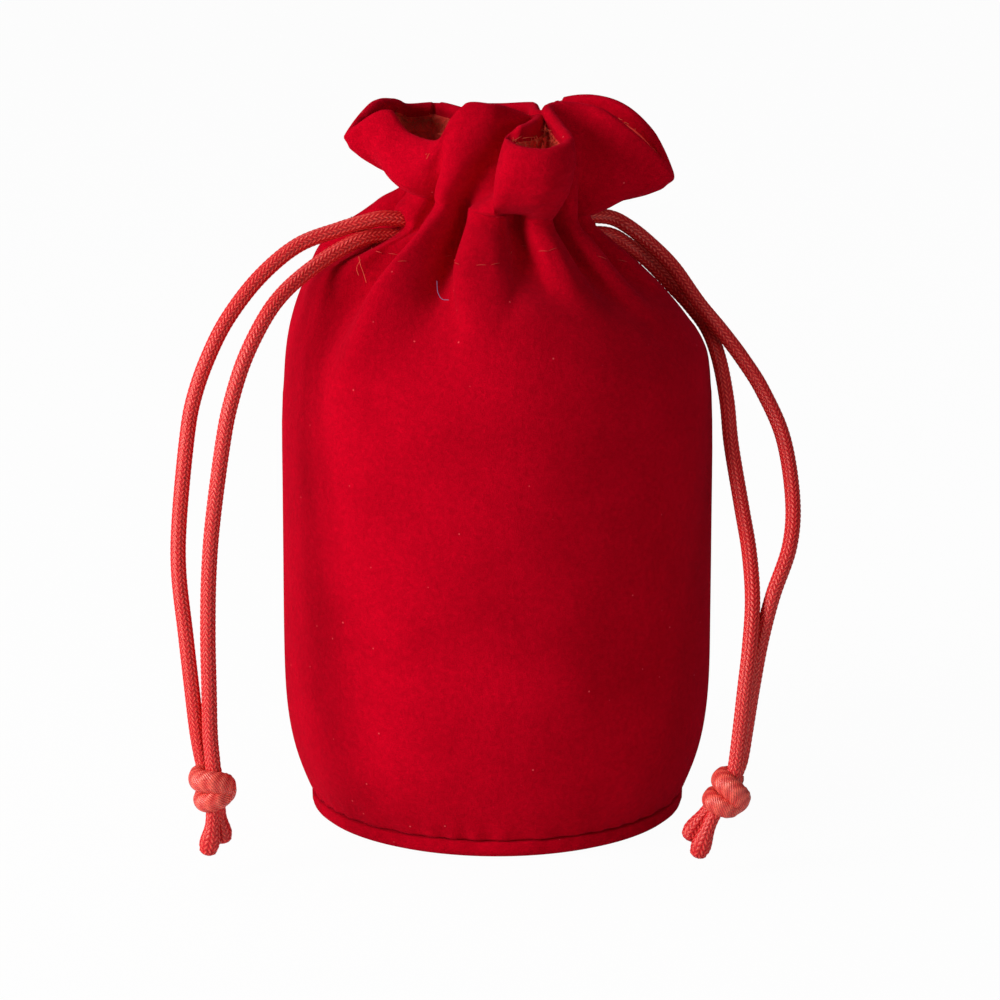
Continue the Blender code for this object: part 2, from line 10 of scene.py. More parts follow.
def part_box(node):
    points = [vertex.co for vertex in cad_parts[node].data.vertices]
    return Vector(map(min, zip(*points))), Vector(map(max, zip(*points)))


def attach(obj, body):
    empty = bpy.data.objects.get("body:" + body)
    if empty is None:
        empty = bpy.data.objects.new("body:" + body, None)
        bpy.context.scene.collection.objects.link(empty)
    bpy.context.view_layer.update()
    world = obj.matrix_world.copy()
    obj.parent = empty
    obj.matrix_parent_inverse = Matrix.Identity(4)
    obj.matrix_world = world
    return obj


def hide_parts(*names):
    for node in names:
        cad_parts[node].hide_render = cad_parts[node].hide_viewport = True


bl_info = {
    "name": "Velvet Drawstring Pouch",
    "version": (1, 0, 0),
    "blender": (4, 5, 0),
    "location": "View3D > Sidebar > Pouch",
    "description": "Sews and finishes a small velvet pouch with two braided drawstrings",
    "category": "Object",
}

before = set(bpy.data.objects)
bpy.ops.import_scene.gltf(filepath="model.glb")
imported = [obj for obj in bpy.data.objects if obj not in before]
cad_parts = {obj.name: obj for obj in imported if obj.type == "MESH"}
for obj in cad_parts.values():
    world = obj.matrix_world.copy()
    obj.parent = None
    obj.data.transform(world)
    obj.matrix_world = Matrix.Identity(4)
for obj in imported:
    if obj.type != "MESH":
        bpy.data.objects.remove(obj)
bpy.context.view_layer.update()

MM = 0.001
ROOT = "root"

# Body and neck, as the solids have them
BODY_FULL_HEIGHT = 42.0 * MM
FOOT_ROUNDNESS = 3.6
SEAM_RADIUS = 39.0 * MM
SEAM_HEIGHT = 4.4 * MM
FLOOR_RADIUS = 36.5 * MM
ROLL_BULGE = 0.4 * MM
BASE_ROUNDING = 2.2 * MM
BASE_MIDDLE = 0.3 * MM
BASE_ROLL_STEPS = 10
BASE_COLUMNS = 240
BASE_PUCKER = 0.14 * MM
BASE_PUCKER_RUN = 2.2 * MM
SEAM_ALLOWANCE = 7.5 * MM
GAP = 0.3 * MM
SHOULDER_HEIGHT = 90.0 * MM
# Crest of the pleats from the shoulder up to the pinch: share of the way in, share of the way up
SHOULDER_PROFILE = (
    (0.0, 0.0),
    (0.045, 0.22),
    (0.115, 0.36),
    (0.22, 0.49),
    (0.35, 0.61),
    (0.515, 0.715),
    (0.69, 0.805),
    (0.85, 0.895),
    (0.955, 0.955),
    (1.0, 1.0),
)
NECK_HEIGHT = 124.0 * MM
PINCH_HEIGHT = NECK_HEIGHT + 6.5 * MM
TOP_LEAN = 0.15
LEAN_RUN = 26.0 * MM
CORD_LANE_GAP = 0.5 * MM
CORD_RING_RADIUS = 9.4 * MM
CORD_TURN_RADIUS = 6.4 * MM
CREASE_CLEARANCE = 0.6 * MM
CHANNEL_MIDDLE = NECK_HEIGHT + 0.8 * MM
EXIT_REACH = 6.0 * MM
LEFT_EXIT_DEG = -157.0
RIGHT_EXIT_DEG = 22.0
BED_DEPTH = 5.4 * MM
BED_HALF_WIDTH_DEG = 14.0
BED_RUN = 16.0 * MM
BED_FADE = 5.0 * MM
FOLD_TURN = 0.74
FOLD_FULLNESS = 0.5

# Small unevenness of the wall: how high each kind is, and over what run of the cloth
UNEVENNESS = 0.12 * MM
UNEVENNESS_RUN = 34.0 * MM
UNEVENNESS_START = 20.0 * MM
UNEVENNESS_GROWTH = 90.0 * MM
CORNER_SOFTENING = 0.3 * MM
CORNER_RUN = 5.0 * MM
SEAM_PUCKER = 0.25 * MM
SEAM_PUCKER_RUN = 3.2 * MM
CHANNEL_GATHER = 0.22 * MM
CHANNEL_GATHER_RUN = 3.4 * MM
CHANNEL_GATHER_DROP = 1.0 * MM
RUFFLE_UNEVENNESS = 0.45 * MM

# Creases of the neck: angle, depth as a share of the neck's radius, run as a share of the shoulder's
# height, and how far the crease swings aside on its way down (deg)
CREASES = (
    (-179.0, 0.38, 0.50, 0.0),
    (-138.0, 0.29, 0.74, -3.0),
    (-118.0, 0.47, 0.66, 9.0),
    (-76.0, 0.44, 0.26, 0.0),
    (-44.0, 0.39, 0.30, 4.0),
    (-23.0, 0.33, 0.24, 0.0),
    (4.0, 0.33, 0.39, 0.0),
    (44.0, 0.38, 0.50, 0.0),
    (70.0, 0.44, 0.69, 0.0),
    (98.0, 0.47, 0.34, 0.0),
    (126.0, 0.46, 0.64, 0.0),
    (154.0, 0.43, 0.39, 0.0),
)
SWING_RUN = 15.0 * MM

# Rim of the ruffle above the pinch, before the top leans (mm), from the left tip round by the front
RIM_START_DEG = -178.0
RIM = (
    (-30.4, -4.0, 10.6),
    (-25.4, -7.0, 15.0),
    (-22.4, -8.0, 15.8),
    (-18.8, -9.8, 12.4),
    (-12.6, -12.8, 12.2),
    (-9.4, -13.0, 17.4),
    (-6.2, -13.4, 20.4),
    (-1.0, -13.0, 20.8),
    (2.8, -9.6, 20.2),
    (7.2, -7.6, 18.6),
    (5.0, -13.0, 17.2),
    (1.6, -18.0, 16.0),
    (3.6, -24.0, 15.3),
    (10.0, -26.0, 15.6),
    (15.4, -21.0, 17.6),
    (13.6, -13.4, 19.4),
    (11.6, -7.2, 21.6),
    (17.0, -5.6, 22.1),
    (23.3, -7.0, 21.2),
    (29.8, -6.6, 17.6),
    (34.6, -4.4, 13.6),
    (36.2, 0.2, 11.6),
    (33.0, 4.6, 17.4),
    (27.2, 7.6, 21.6),
    (20.5, 11.5, 22.2),
    (13.3, 17.5, 19.5),
    (9.5, 11.5, 17.5),
    (8.0, 20.0, 17.7),
    (0.5, 25.0, 15.7),
    (-6.5, 24.5, 14.5),
    (-6.5, 14.0, 15.1),
    (-12.5, 20.5, 14.5),
    (-19.5, 18.0, 13.7),
    (-22.5, 11.0, 15.3),
    (-26.5, 4.5, 15.0),
)
FLARE_REACH = 0.45
FLARE_RISE = 0.28
RIM_RISE = 0.36
LOBE_BELLY = 1.6 * MM
BELLY_SHARE = 0.7

# Lobes of the ruffle that hang over the neck: angle, half width (deg), then how far they hang out,
# aside towards smaller angles, and down (mm)
HANGING_LOBES = (
    (-88.0, 26.0, 5.0, 0.0, 6.0),
    (-87.0, 14.0, 1.2, 4.4, 0.4),
    (-142.0, 22.0, 3.0, 0.0, 2.5),
    (-166.0, 20.0, 4.0, 0.0, 1.0),
    (-6.0, 16.0, 2.0, 0.0, 2.0),
    (92.0, 20.0, 2.5, 0.0, 3.0),
    (150.0, 18.0, 2.0, 0.0, 2.5),
)

# Soft folds of the shoulder: angle (deg) and height (mm) at both ends, half width (deg), rise (mm)
SHOULDER_FOLDS = (
    ((-126.0, 123.0), (-135.0, 93.0), 3.6, 2.9),
    ((-114.0, 123.0), (-118.0, 102.0), 3.2, -2.4),
    ((-142.0, 122.0), (-163.0, 108.0), 4.2, 2.2),
    ((-134.0, 121.0), (-147.0, 102.0), 3.4, -2.0),
    ((-96.0, 126.0), (-94.0, 117.0), 6.0, 0.9),
    ((-61.0, 127.0), (-60.0, 119.0), 5.0, 0.8),
    ((-70.0, 125.0), (-66.0, 115.0), 2.2, -0.9),
    ((-30.0, 127.0), (-31.0, 121.0), 4.0, 0.7),
    ((-12.0, 122.0), (-12.0, 101.0), 12.0, 2.3),
    ((-38.0, 120.0), (-30.0, 104.0), 3.4, -0.7),
    ((167.0, 126.0), (168.0, 108.0), 12.0, 1.8),
    ((52.0, 122.0), (55.0, 106.0), 3.4, -0.9),
    ((84.0, 122.0), (82.0, 104.0), 3.6, 0.9),
    ((112.0, 121.0), (110.0, 102.0), 3.4, -0.9),
    ((140.0, 122.0), (143.0, 106.0), 3.8, 0.9),
)
# A fold widens on its way, starts a little above its first point and fades out past its last
FOLD_WIDENING = 1.2
FOLD_START = 0.3
FOLD_END = 1.25
FOLD_FADE = 0.9

# Stitched line below the channel: angle (deg) and height (mm), before the top leans
STITCH_LINE = (
    (-180.0, 121.0), (-150.0, 119.0), (-133.0, 119.0), (-118.0, 120.5), (-98.0, 121.5),
    (-76.0, 124.0), (-53.0, 127.0), (-36.0, 124.5), (0.0, 121.5), (60.0, 121.0),
    (120.0, 121.5), (180.0, 121.0),
)
STITCH_GAP_SHARE = 0.55
STITCHES_SEEN = 0.5
STITCH_LIFT = 0.06 * MM
# What a degree aside counts for, against height, where a line is laid on the cloth
LINE_TURN_WEIGHT = 0.3 * MM

# Frayed yarns: length (mm) and bend of each kind, and how far from the middle the last ones stand
FRAYED_YARNS = ((1.1, 0.3), (1.7, 0.6), (2.2, 0.5), (1.4, -0.5), (2.6, 0.8))
YARNS_PER_COLUMN = 2
YARN_RADIUS = 0.09 * MM
FRAY_REACH = 29.0 * MM

# Braid: columns of chevrons round the cord, how far each leans, and its relief
BRAID_WALES = 12
BRAID_LEAN = 1.1
BRAID_DEPTH = 0.22
STRAND_STEP = 0.17 * MM
STRAND_SIDES = 56
# A strand ends inside its knot, at this share of the way out from the knot's middle
STRAND_END_SHARE = 0.45
CHANNEL_STEPS = 24
HIDDEN_STEP = 0.35 * MM
HIDDEN_SIDES = 28
SATIN_ROUGHNESS = 0.34
# How dark the yarn is round a cord's end, and in the middle of it
END_RING_SHADE = 0.6
END_SHADE = 0.5

# Loose threads that cling to the cloth (mm)
LOOSE_THREADS = (
    ((-28.0, -19.4, 122.2), (-27.6, -20.6, 120.6), (-27.0, -21.8, 119.2), (-26.4, -22.8, 117.4)),
    ((-27.6, -19.7, 121.6), (-28.4, -20.2, 119.9), (-28.0, -21.2, 118.6)),
)
GREY_THREAD = (
    (-12.0, -33.0, 119.8), (-11.8, -34.2, 117.8),
    (-11.0, -35.4, 116.6), (-9.6, -36.0, 116.5),
)

# Loose threads have lost twist: their radius as a share of the sewing thread's diameter
LOOSE_THREAD_SHARE = 0.36
LOOSE_THREAD_STEP = 0.3 * MM

# Rows of the cloth, from the seam up to the rim
LOWER_ROWS = 20
STRAIGHT_ROWS = 8
SHOULDER_ROWS = 46
RUFFLE_ROWS = 36
ROLL_ROWS = 5
CLOTH_COLUMNS = 480
# The inner face below the ruffle keeps only each such row
INNER_STEP = 3

# The top edge is thicker over its turned-in hem, and a little more at the rim
HEM_PUFF = 0.75
RIM_PUFF = 0.30
RIM_PUFF_RUN = 2.2 * MM
HEM_EASE = 2.0 * MM

# How the inner face is drawn up in tight folds, so that it doesn't turn over
FOLD_PASSES = 6
FOLD_LEAST_FACING = 0.25
FOLD_THINNING = 0.28

# The woven back: from thread to thread, across and along (m)
WARP_PITCH = 0.00055
WEFT_PITCH = 0.00048

# Casing tape: its thickness, how far its foot stands out, and the room over it
TAPE_THICKNESS = 0.8 * MM
TAPE_FOOT = 2.0 * MM
TAPE_TOP_ROOM = 0.3 * MM
TAPE_BOX_ROOM = 0.2 * MM
TAPE_PUCKER = 0.05 * MM
TAPE_COLUMNS = 160

# Routes of the strands from their exits down to the knots (mm)
LEFT_UPPER_ROUTE = (
    (-27.8, -11.6, 127.6), (-32.2, -12.9, 126.5), (-40.5, -16.0, 123.8), (-48.1, -20.0, 118.0),
    (-54.4, -24.0, 110.3), (-58.4, -27.0, 102.7), (-61.2, -29.0, 94.8), (-62.6, -31.0, 87.0),
    (-64.1, -35.0, 71.3), (-64.2, -38.0, 61.0), (-62.8, -41.3, 49.0), (-61.6, -43.5, 38.5),
    (-60.6, -44.6, 29.5), (-59.4, -45.4, 22.9),
)
LEFT_LOWER_ROUTE = (
    (-27.6, -12.6, 124.5), (-33.0, -16.0, 122.3), (-38.7, -20.5, 119.0), (-43.4, -24.8, 115.3),
    (-46.9, -28.0, 110.8), (-50.6, -31.0, 103.6), (-53.2, -33.0, 95.8), (-54.9, -35.0, 88.0),
    (-57.1, -38.0, 72.1), (-58.0, -40.0, 61.0), (-58.2, -42.7, 49.0), (-58.0, -44.9, 38.5),
    (-57.8, -46.8, 29.5), (-57.2, -48.4, 22.9),
)
RIGHT_UPPER_ROUTE = (
    (27.2, 9.4, 123.2), (31.8, 9.0, 119.6), (36.8, 7.2, 114.8), (41.9, 2.6, 108.2),
    (46.6, -2.6, 103.2), (51.0, -6.2, 97.8), (54.9, -10.0, 92.0), (58.8, -16.0, 83.5),
    (60.3, -25.0, 72.9), (59.4, -31.0, 64.5), (55.9, -35.6, 55.5), (53.5, -38.6, 47.0),
    (51.7, -41.4, 38.0), (50.3, -43.4, 29.5), (49.2, -44.8, 23.3),
)
RIGHT_LOWER_ROUTE = (
    (27.2, 11.6, 118.9), (31.8, 12.4, 115.2), (36.4, 11.0, 110.6), (40.4, 8.6, 106.6),
    (43.9, 3.0, 102.6), (46.0, -3.6, 97.6), (47.4, -10.0, 90.3), (48.2, -14.5, 81.9),
    (50.0, -22.0, 71.0), (51.3, -29.5, 63.0), (51.7, -36.6, 55.0), (51.0, -41.4, 46.6),
    (49.9, -44.7, 38.0), (48.9, -46.8, 29.5), (48.0, -48.2, 22.8),
)

# Knots: middle (mm) and tilt
LEFT_KNOT = (-57.5, -48.0, 18.6)
RIGHT_KNOT = (46.3, -48.2, 17.3)
LEFT_KNOT_TILT_DEG = -4.0
RIGHT_KNOT_TILT_DEG = 33.0

# Bands of a knot and its tails, around the knot's middle (mm)
HIGH_BAND = (
    (1.4, 2.6, 2.8), (-1.4, 2.3, 2.7), (-2.9, 0.4, 2.3), (-1.9, -2.0, 2.2), (0.4, -2.8, 2.0),
    (2.4, -2.0, 1.3), (3.2, -0.2, 0.2), (2.7, 1.4, -1.4), (1.0, 2.4, -2.2),
)
LOW_BAND = (
    (2.9, 0.8, -0.6), (2.2, -1.6, -1.5), (0.4, -2.6, -2.0), (-1.5, -2.0, -2.3),
    (-2.3, -0.2, -2.3), (-1.6, 1.6, -1.8), (0.4, 2.4, -0.6), (1.8, 2.0, 1.2),
)
# Name, route, half width and half depth (mm) of each band, and the lean of its yarns
KNOT_BANDS = (
    ("high", HIGH_BAND, 2.35, 1.75, 1.1),
    ("low", LOW_BAND, 2.15, 1.7, -0.9),
)
KNOT_SIDES = 48
BAND_STEP = 0.14 * MM
TAIL_STEP = 0.16 * MM
KNOT_SWELL_DEPTH = 0.04
KNOT_SWELL_LENGTH = 1.5 * MM
KNOT_ROUGHNESS = 0.36
# Yarns of a knot that aren't modelled: turns per metre across and along
KNOT_YARNS = (1900.0, 2400.0)
# Tails of each knot: in front, then behind
LEFT_KNOT_TAILS = (
    ((0.1, -0.5, -1.2), (-0.1, -1.2, -4.4), (-0.6, -1.5, -8.0), (-1.3, -1.5, -10.8), (-1.9, -1.2, -13.0)),
    ((0.7, 0.8, -1.2), (0.8, 1.3, -4.4), (0.8, 1.5, -7.6), (1.0, 1.4, -9.8), (1.2, 1.2, -11.6)),
)
RIGHT_KNOT_TAILS = (
    ((0.0, -0.5, -1.2), (0.0, -1.4, -5.0), (0.7, -1.7, -8.6), (1.4, -1.6, -11.4), (1.9, -1.2, -13.4)),
    ((-0.6, 0.8, -1.2), (-0.9, 1.4, -4.8), (-1.1, 1.5, -8.0), (-1.1, 1.4, -10.4), (-1.1, 1.2, -12.0)),
)

# Photographer's stance
CAMERA_DISTANCE = 0.9
CAMERA_RISE_DEG = 14.0
CAMERA_AIM = (0.0006, 0.0, 0.0665)
CAMERA_LENS = 154.3

# Studio: name, place (m), width (m) and power of each lamp, all turned towards the middle of the pouch
LAMPS = (
    ("key", (-0.86, -0.50, 0.42), 0.60, 11.4),
    ("fill", (0.50, -0.85, 0.20), 0.6, 1.8),
    ("top", (-0.25, 0.20, 0.9), 0.5, 1.6),
)
LAMP_AIM_HEIGHT = 0.08
SKY_STRENGTH = 0.10
FLOOR_WHITE_SHARE = 0.97
FLOOR_SPREAD = 2.6


class PouchSizes(bpy.types.PropertyGroup):
    """Sizes of the sewn pouch that a user may change."""

    body_radius: FloatProperty(
        name="Body radius", description="Radius of the filled-out body",
        default=0.045, min=0.042, max=0.048, unit="LENGTH")
    neck_radius: FloatProperty(
        name="Neck radius", description="Radius over the pleats of the drawn neck",
        default=0.0194, min=0.018, max=0.021, unit="LENGTH")
    cloth_thickness: FloatProperty(
        name="Cloth thickness", description="Velvet with its pile and backing",
        default=0.0012, min=0.0006, max=0.002, unit="LENGTH")
    hem_depth: FloatProperty(
        name="Hem depth", description="How far the top edge is turned in",
        default=0.0075, min=0.004, max=0.010, unit="LENGTH")
    lip_depth: FloatProperty(
        name="Lip depth", description="How far the pile reaches down inside the rim, to the frayed edge",
        default=0.0022, min=0.001, max=0.004, unit="LENGTH")
    cord_diameter: FloatProperty(
        name="Cord diameter", description="Thickness of the braided drawstring",
        default=0.0032, min=0.0026, max=0.0036, unit="LENGTH")
    braid_pitch: FloatProperty(
        name="Braid pitch", description="Length of one chevron of the braid",
        default=0.0011, min=0.0008, max=0.002, unit="LENGTH")
    stitch_length: FloatProperty(
        name="Stitch length", description="Length of one stitch of the channel",
        default=0.0021, min=0.001, max=0.003, unit="LENGTH")
    thread_diameter: FloatProperty(
        name="Thread diameter", description="Sewing thread of the channel",
        default=0.00018, min=0.0001, max=0.0005, unit="LENGTH")


class PouchColors(bpy.types.PropertyGroup):
    """Colours of the sewn pouch that a user may change."""

    velvet: FloatVectorProperty(
        name="Velvet", description="Pile seen along its lay",
        subtype="COLOR", size=3, default=(0.59, 0.0006, 0.0135), min=0.0, max=1.0)
    velvet_deep: FloatVectorProperty(
        name="Velvet against the lay", description="Pile brushed towards the eye",
        subtype="COLOR", size=3, default=(0.48, 0.0004, 0.0105), min=0.0, max=1.0)
    reverse: FloatVectorProperty(
        name="Reverse", description="Woven back of the velvet",
        subtype="COLOR", size=3, default=(1.0, 0.062, 0.044), min=0.0, max=1.0)
    cord: FloatVectorProperty(
        name="Cord", description="Satin yarn of the braid",
        subtype="COLOR", size=3, default=(0.66, 0.012, 0.020), min=0.0, max=1.0)
    # Painted highlight: the crowns of the chevrons are painted this pale colour for the light the satin
    # catches there.
    cord_painted_highlight: FloatVectorProperty(
        name="Cord crowns", description="Satin yarn on the crown of each chevron",
        subtype="COLOR", size=3, default=(1.0, 0.120, 0.085), min=0.0, max=1.0)
    # Painted shade: the grooves between the chevrons are painted this dark colour.
    cord_painted_shade: FloatVectorProperty(
        name="Cord grooves", description="Yarn down between the chevrons",
        subtype="COLOR", size=3, default=(0.11, 0.0006, 0.006), min=0.0, max=1.0)
    thread: FloatVectorProperty(
        name="Thread", description="Sewing thread and frayed yarn",
        subtype="COLOR", size=3, default=(0.85, 0.10, 0.05), min=0.0, max=1.0)
    stitch: FloatVectorProperty(
        name="Stitches", description="Sewing thread sunk in the pile",
        subtype="COLOR", size=3, default=(0.72, 0.040, 0.035), min=0.0, max=1.0)
    stray: FloatVectorProperty(
        name="Stray thread", description="The grey thread caught in a fold",
        subtype="COLOR", size=3, default=(0.24, 0.15, 0.30), min=0.0, max=1.0)
    floor: FloatVectorProperty(
        name="Floor", description="Studio floor and sweep",
        subtype="COLOR", size=3, default=(0.82, 0.82, 0.82), min=0.0, max=1.0)


# Small helpers


def eased(value):
    """0 below 0, 1 above 1, eased between, for a number or an array."""
    value = np.clip(value, 0.0, 1.0)
    return value * value * (3.0 - 2.0 * value)


def leaned(points):
    """Points after the gathered top has leaned: its left side stands higher than its right."""
    points = np.array(points, dtype=float)
    share = eased((points[..., 2] - SHOULDER_HEIGHT) / LEAN_RUN)
    points[..., 2] -= TOP_LEAN * share * points[..., 0]
    return points


def curve_point(before, start, end, after, t):
    """A point between start and end on the smooth curve through all four."""
    return 0.5 * (
        2.0 * start + (end - before) * t
        + (2.0 * before - 5.0 * start + 4.0 * end - after) * t * t
        + (3.0 * start - before - 3.0 * end + after) * t ** 3)


def distances(points):
    """How far along a line of points each of them is."""
    return np.concatenate([[0.0], np.cumsum(np.linalg.norm(np.diff(points, axis=0), axis=1))])


def smooth_line(points, step):
    """Points at even distances along a smooth curve through the given ones, and its length."""
    points = np.array(points, dtype=float)
    padded = np.vstack([2 * points[0] - points[1], points, 2 * points[-1] - points[-2]])
    fine = []
    for i in range(1, len(padded) - 2):
        before, start, end, after = padded[i - 1:i + 3]
        for t in np.linspace(0.0, 1.0, 24, endpoint=False):
            fine.append(curve_point(before, start, end, after, t))
    fine.append(padded[-2])
    fine = np.array(fine)
    walked = distances(fine)
    count = max(2, int(round(walked[-1] / step)) + 1)
    places = np.linspace(0.0, walked[-1], count)
    return np.column_stack([np.interp(places, walked, fine[:, k]) for k in range(3)]), walked[-1]


def new_object(name, verts, faces, materials, uvs=None, painted_light=None, face_materials=None):
    """A smooth-shaded mesh object with its own UV map and shade attribute."""
    mesh = bpy.data.meshes.new(name)
    mesh.from_pydata([tuple(v) for v in verts], [], faces)
    for material in materials:
        mesh.materials.append(material)
    if uvs is not None:
        layer = mesh.uv_layers.new(name="cloth")
        loops = np.empty(len(mesh.loops), dtype=np.int32)
        mesh.loops.foreach_get("vertex_index", loops)
        layer.data.foreach_set("uv", np.asarray(uvs, dtype=float)[loops].ravel())
    # The shade attribute carries painted light: painted shade and painted highlight for the satin finishes.
    if painted_light is not None:
        shade = mesh.attributes.new("shade", "FLOAT", "POINT")
        shade.data.foreach_set("value", np.asarray(painted_light, dtype=float))
    if face_materials is not None:
        mesh.polygons.foreach_set("material_index", np.asarray(face_materials, dtype=np.int32))
    mesh.shade_smooth()
    item = bpy.data.objects.new(name, mesh)
    bpy.context.scene.collection.objects.link(item)
    return item


def ringed_faces(sides, steps):
    """Faces of a short tube of rings, one after another, with both ends closed."""
    faces = []
    for step in range(steps):
        for side in range(sides):
            near = step * sides + side
            far = step * sides + (side + 1) % sides
            faces.append((near, far, far + sides, near + sides))
    faces.append(tuple(range(sides))[::-1])
    faces.append(tuple(steps * sides + side for side in range(sides)))
    return faces


def curled_yarn(length, bend, radius, sides=5, steps=6):
    """Points and faces of a short yarn, rooted at the origin, rising along +Z and curling to +X."""
    points = []
    for step in range(steps + 1):
        along = step / steps
        aside = bend * length * along ** 2
        back = 0.25 * bend * length * math.sin(3.0 * along)
        middle = np.array((aside, back, length * along))
        reach = radius * (1.0 - 0.45 * along)
        for side in range(sides):
            turn = math.tau * side / sides
            points.append(middle + reach * np.array((math.cos(turn), math.sin(turn), 0.0)))
    return np.array(points), ringed_faces(sides, steps)


def unit(vector):
    """The vector at length 1."""
    return vector / max(1e-9, np.linalg.norm(vector))


def facing(root, direction, roll):
    """A placement at root whose +Z runs along direction, rolled about it."""
    turn = Vector(direction).to_track_quat("Z", "Y").to_matrix().to_4x4()
    return Matrix.Translation(Vector(root)) @ turn @ Matrix.Rotation(roll, 4, "Z")


def joined_copies(name, patterns, places, materials, shade=0.6):
    """Copies of small patterns by turns, each set at its own placement, kept as one piece."""
    verts = []
    faces = []
    for index, place in enumerate(places):
        points, polygons = patterns[index % len(patterns)]
        start = len(verts)
        turn = np.array(place.to_3x3())
        verts.extend((points @ turn.T + np.array(place.translation)).tolist())
        faces.extend(tuple(start + i for i in polygon) for polygon in polygons)
    return new_object(name, verts, faces, materials, painted_light=np.full(len(verts), shade))


# Finishes


def nodes_of(name):
    """A new material and its node tools."""
    material = bpy.data.materials.new(name)
    material.use_nodes = True
    tree = material.node_tree
    shader = tree.nodes["Principled BSDF"]
    return material, tree, shader


def set_inputs(shader, values):
    """Sets the named inputs of a shader or another node."""
    for name, value in values.items():
        shader.inputs[name].default_value = value


def math_node(tree, operation, first, second=None):
    """The result of a math node. second is a socket or a fixed value."""
    node = tree.nodes.new("ShaderNodeMath")
    node.operation = operation
    tree.links.new(first, node.inputs[0])
    if isinstance(second, bpy.types.NodeSocket):
        tree.links.new(second, node.inputs[1])
    elif second is not None:
        node.inputs[1].default_value = second
    return node.outputs[0]


def wave_level(tree, wave):
    """A wave from -1 to 1 brought to 0 to 1."""
    level = tree.nodes.new("ShaderNodeMapRange")
    level.inputs["From Min"].default_value = -1.0
    tree.links.new(wave, level.inputs["Value"])
    return level.outputs["Result"]


def greys(*stops):
    """Ramp stops of grey: each a place and a level."""
    return [(place, (level, level, level)) for place, level in stops]


def noise_node(tree, coordinates, scale, detail, roughness=0.5):
    """A noise texture on the given coordinates."""
    noise = tree.nodes.new("ShaderNodeTexNoise")
    set_inputs(noise, {"Scale": scale, "Detail": detail, "Roughness": roughness})
    tree.links.new(coordinates, noise.inputs["Vector"])
    return noise


def ramp_node(tree, value, stops):
    """A colour ramp with the given (place, colour) stops."""
    ramp = tree.nodes.new("ShaderNodeValToRGB")
    elements = ramp.color_ramp.elements
    elements[0].position, elements[0].color = stops[0][0], (*stops[0][1], 1.0)
    elements[1].position, elements[1].color = stops[-1][0], (*stops[-1][1], 1.0)
    for place, color in stops[1:-1]:
        extra = elements.new(place)
        extra.color = (*color, 1.0)
    tree.links.new(value, ramp.inputs["Fac"])
    return ramp


def mix_node(tree, factor, first, second, blend="MIX"):
    """A colour mix. Each input is a socket, or a fixed value."""
    mix = tree.nodes.new("ShaderNodeMix")
    mix.data_type = "RGBA"
    mix.blend_type = blend
    for socket, value in ((mix.inputs[0], factor), (mix.inputs[6], first), (mix.inputs[7], second)):
        if isinstance(value, bpy.types.NodeSocket):
            tree.links.new(value, socket)
        elif isinstance(value, (int, float)):
            socket.default_value = value
        else:
            socket.default_value = (*value, 1.0)
    return mix.outputs[2]


def bump_chain(tree, shader, heights):
    """Bumps one over another: (height socket, distance in metres, strength)."""
    normal = None
    for height, distance, strength in heights:
        bump = tree.nodes.new("ShaderNodeBump")
        set_inputs(bump, {"Distance": distance, "Strength": strength})
        tree.links.new(height, bump.inputs["Height"])
        if normal is not None:
            tree.links.new(normal, bump.inputs["Normal"])
        normal = bump.outputs["Normal"]
    tree.links.new(normal, shader.inputs["Normal"])


def velvet_finish(colors):
    """Short dense pile: matt, with brushed patches, a soft sheen and a little lint."""
    material, tree, shader = nodes_of("velvet_pile")
    place = tree.nodes.new("ShaderNodeTexCoord").outputs["Object"]
    patches = noise_node(tree, place, 42.0, 4.0, 0.62)
    brushed = ramp_node(tree, patches.outputs["Fac"], greys((0.36, 0.0), (0.66, 1.0)))
    mottle = noise_node(tree, place, 900.0, 5.0, 0.75)
    pile = noise_node(tree, place, 5200.0, 3.0, 0.6)
    color = mix_node(tree, brushed.outputs["Color"], tuple(colors.velvet_deep), tuple(colors.velvet))
    speckle = ramp_node(tree, mottle.outputs["Fac"], greys((0.30, 0.74), (0.72, 1.14)))
    color = mix_node(tree, 0.85, color, speckle.outputs["Color"], "MULTIPLY")
    tips = ramp_node(tree, pile.outputs["Fac"], greys((0.34, 0.78), (0.68, 1.2)))
    color = mix_node(tree, 0.75, color, tips.outputs["Color"], "MULTIPLY")
    cells = tree.nodes.new("ShaderNodeTexVoronoi")
    cells.inputs["Scale"].default_value = 210.0
    tree.links.new(place, cells.inputs["Vector"])
    lint = ramp_node(tree, cells.outputs["Distance"], greys((0.028, 1.0), (0.052, 0.0)))
    color = mix_node(tree, lint.outputs["Color"], color, (0.74, 0.07, 0.08))
    tree.links.new(color, shader.inputs["Base Color"])
    set_inputs(shader, {
        "Roughness": 1.0, "Specular IOR Level": 0.015, "Sheen Weight": 0.40,
        "Sheen Roughness": 0.38, "Sheen Tint": (0.80, 0.022, 0.065, 1.0),
    })
    bump_chain(tree, shader, (
        (patches.outputs["Fac"], 0.0012, 0.2),
        (mottle.outputs["Fac"], 0.0005, 0.5),
        (pile.outputs["Fac"], 0.00014, 0.9),
    ))
    return material


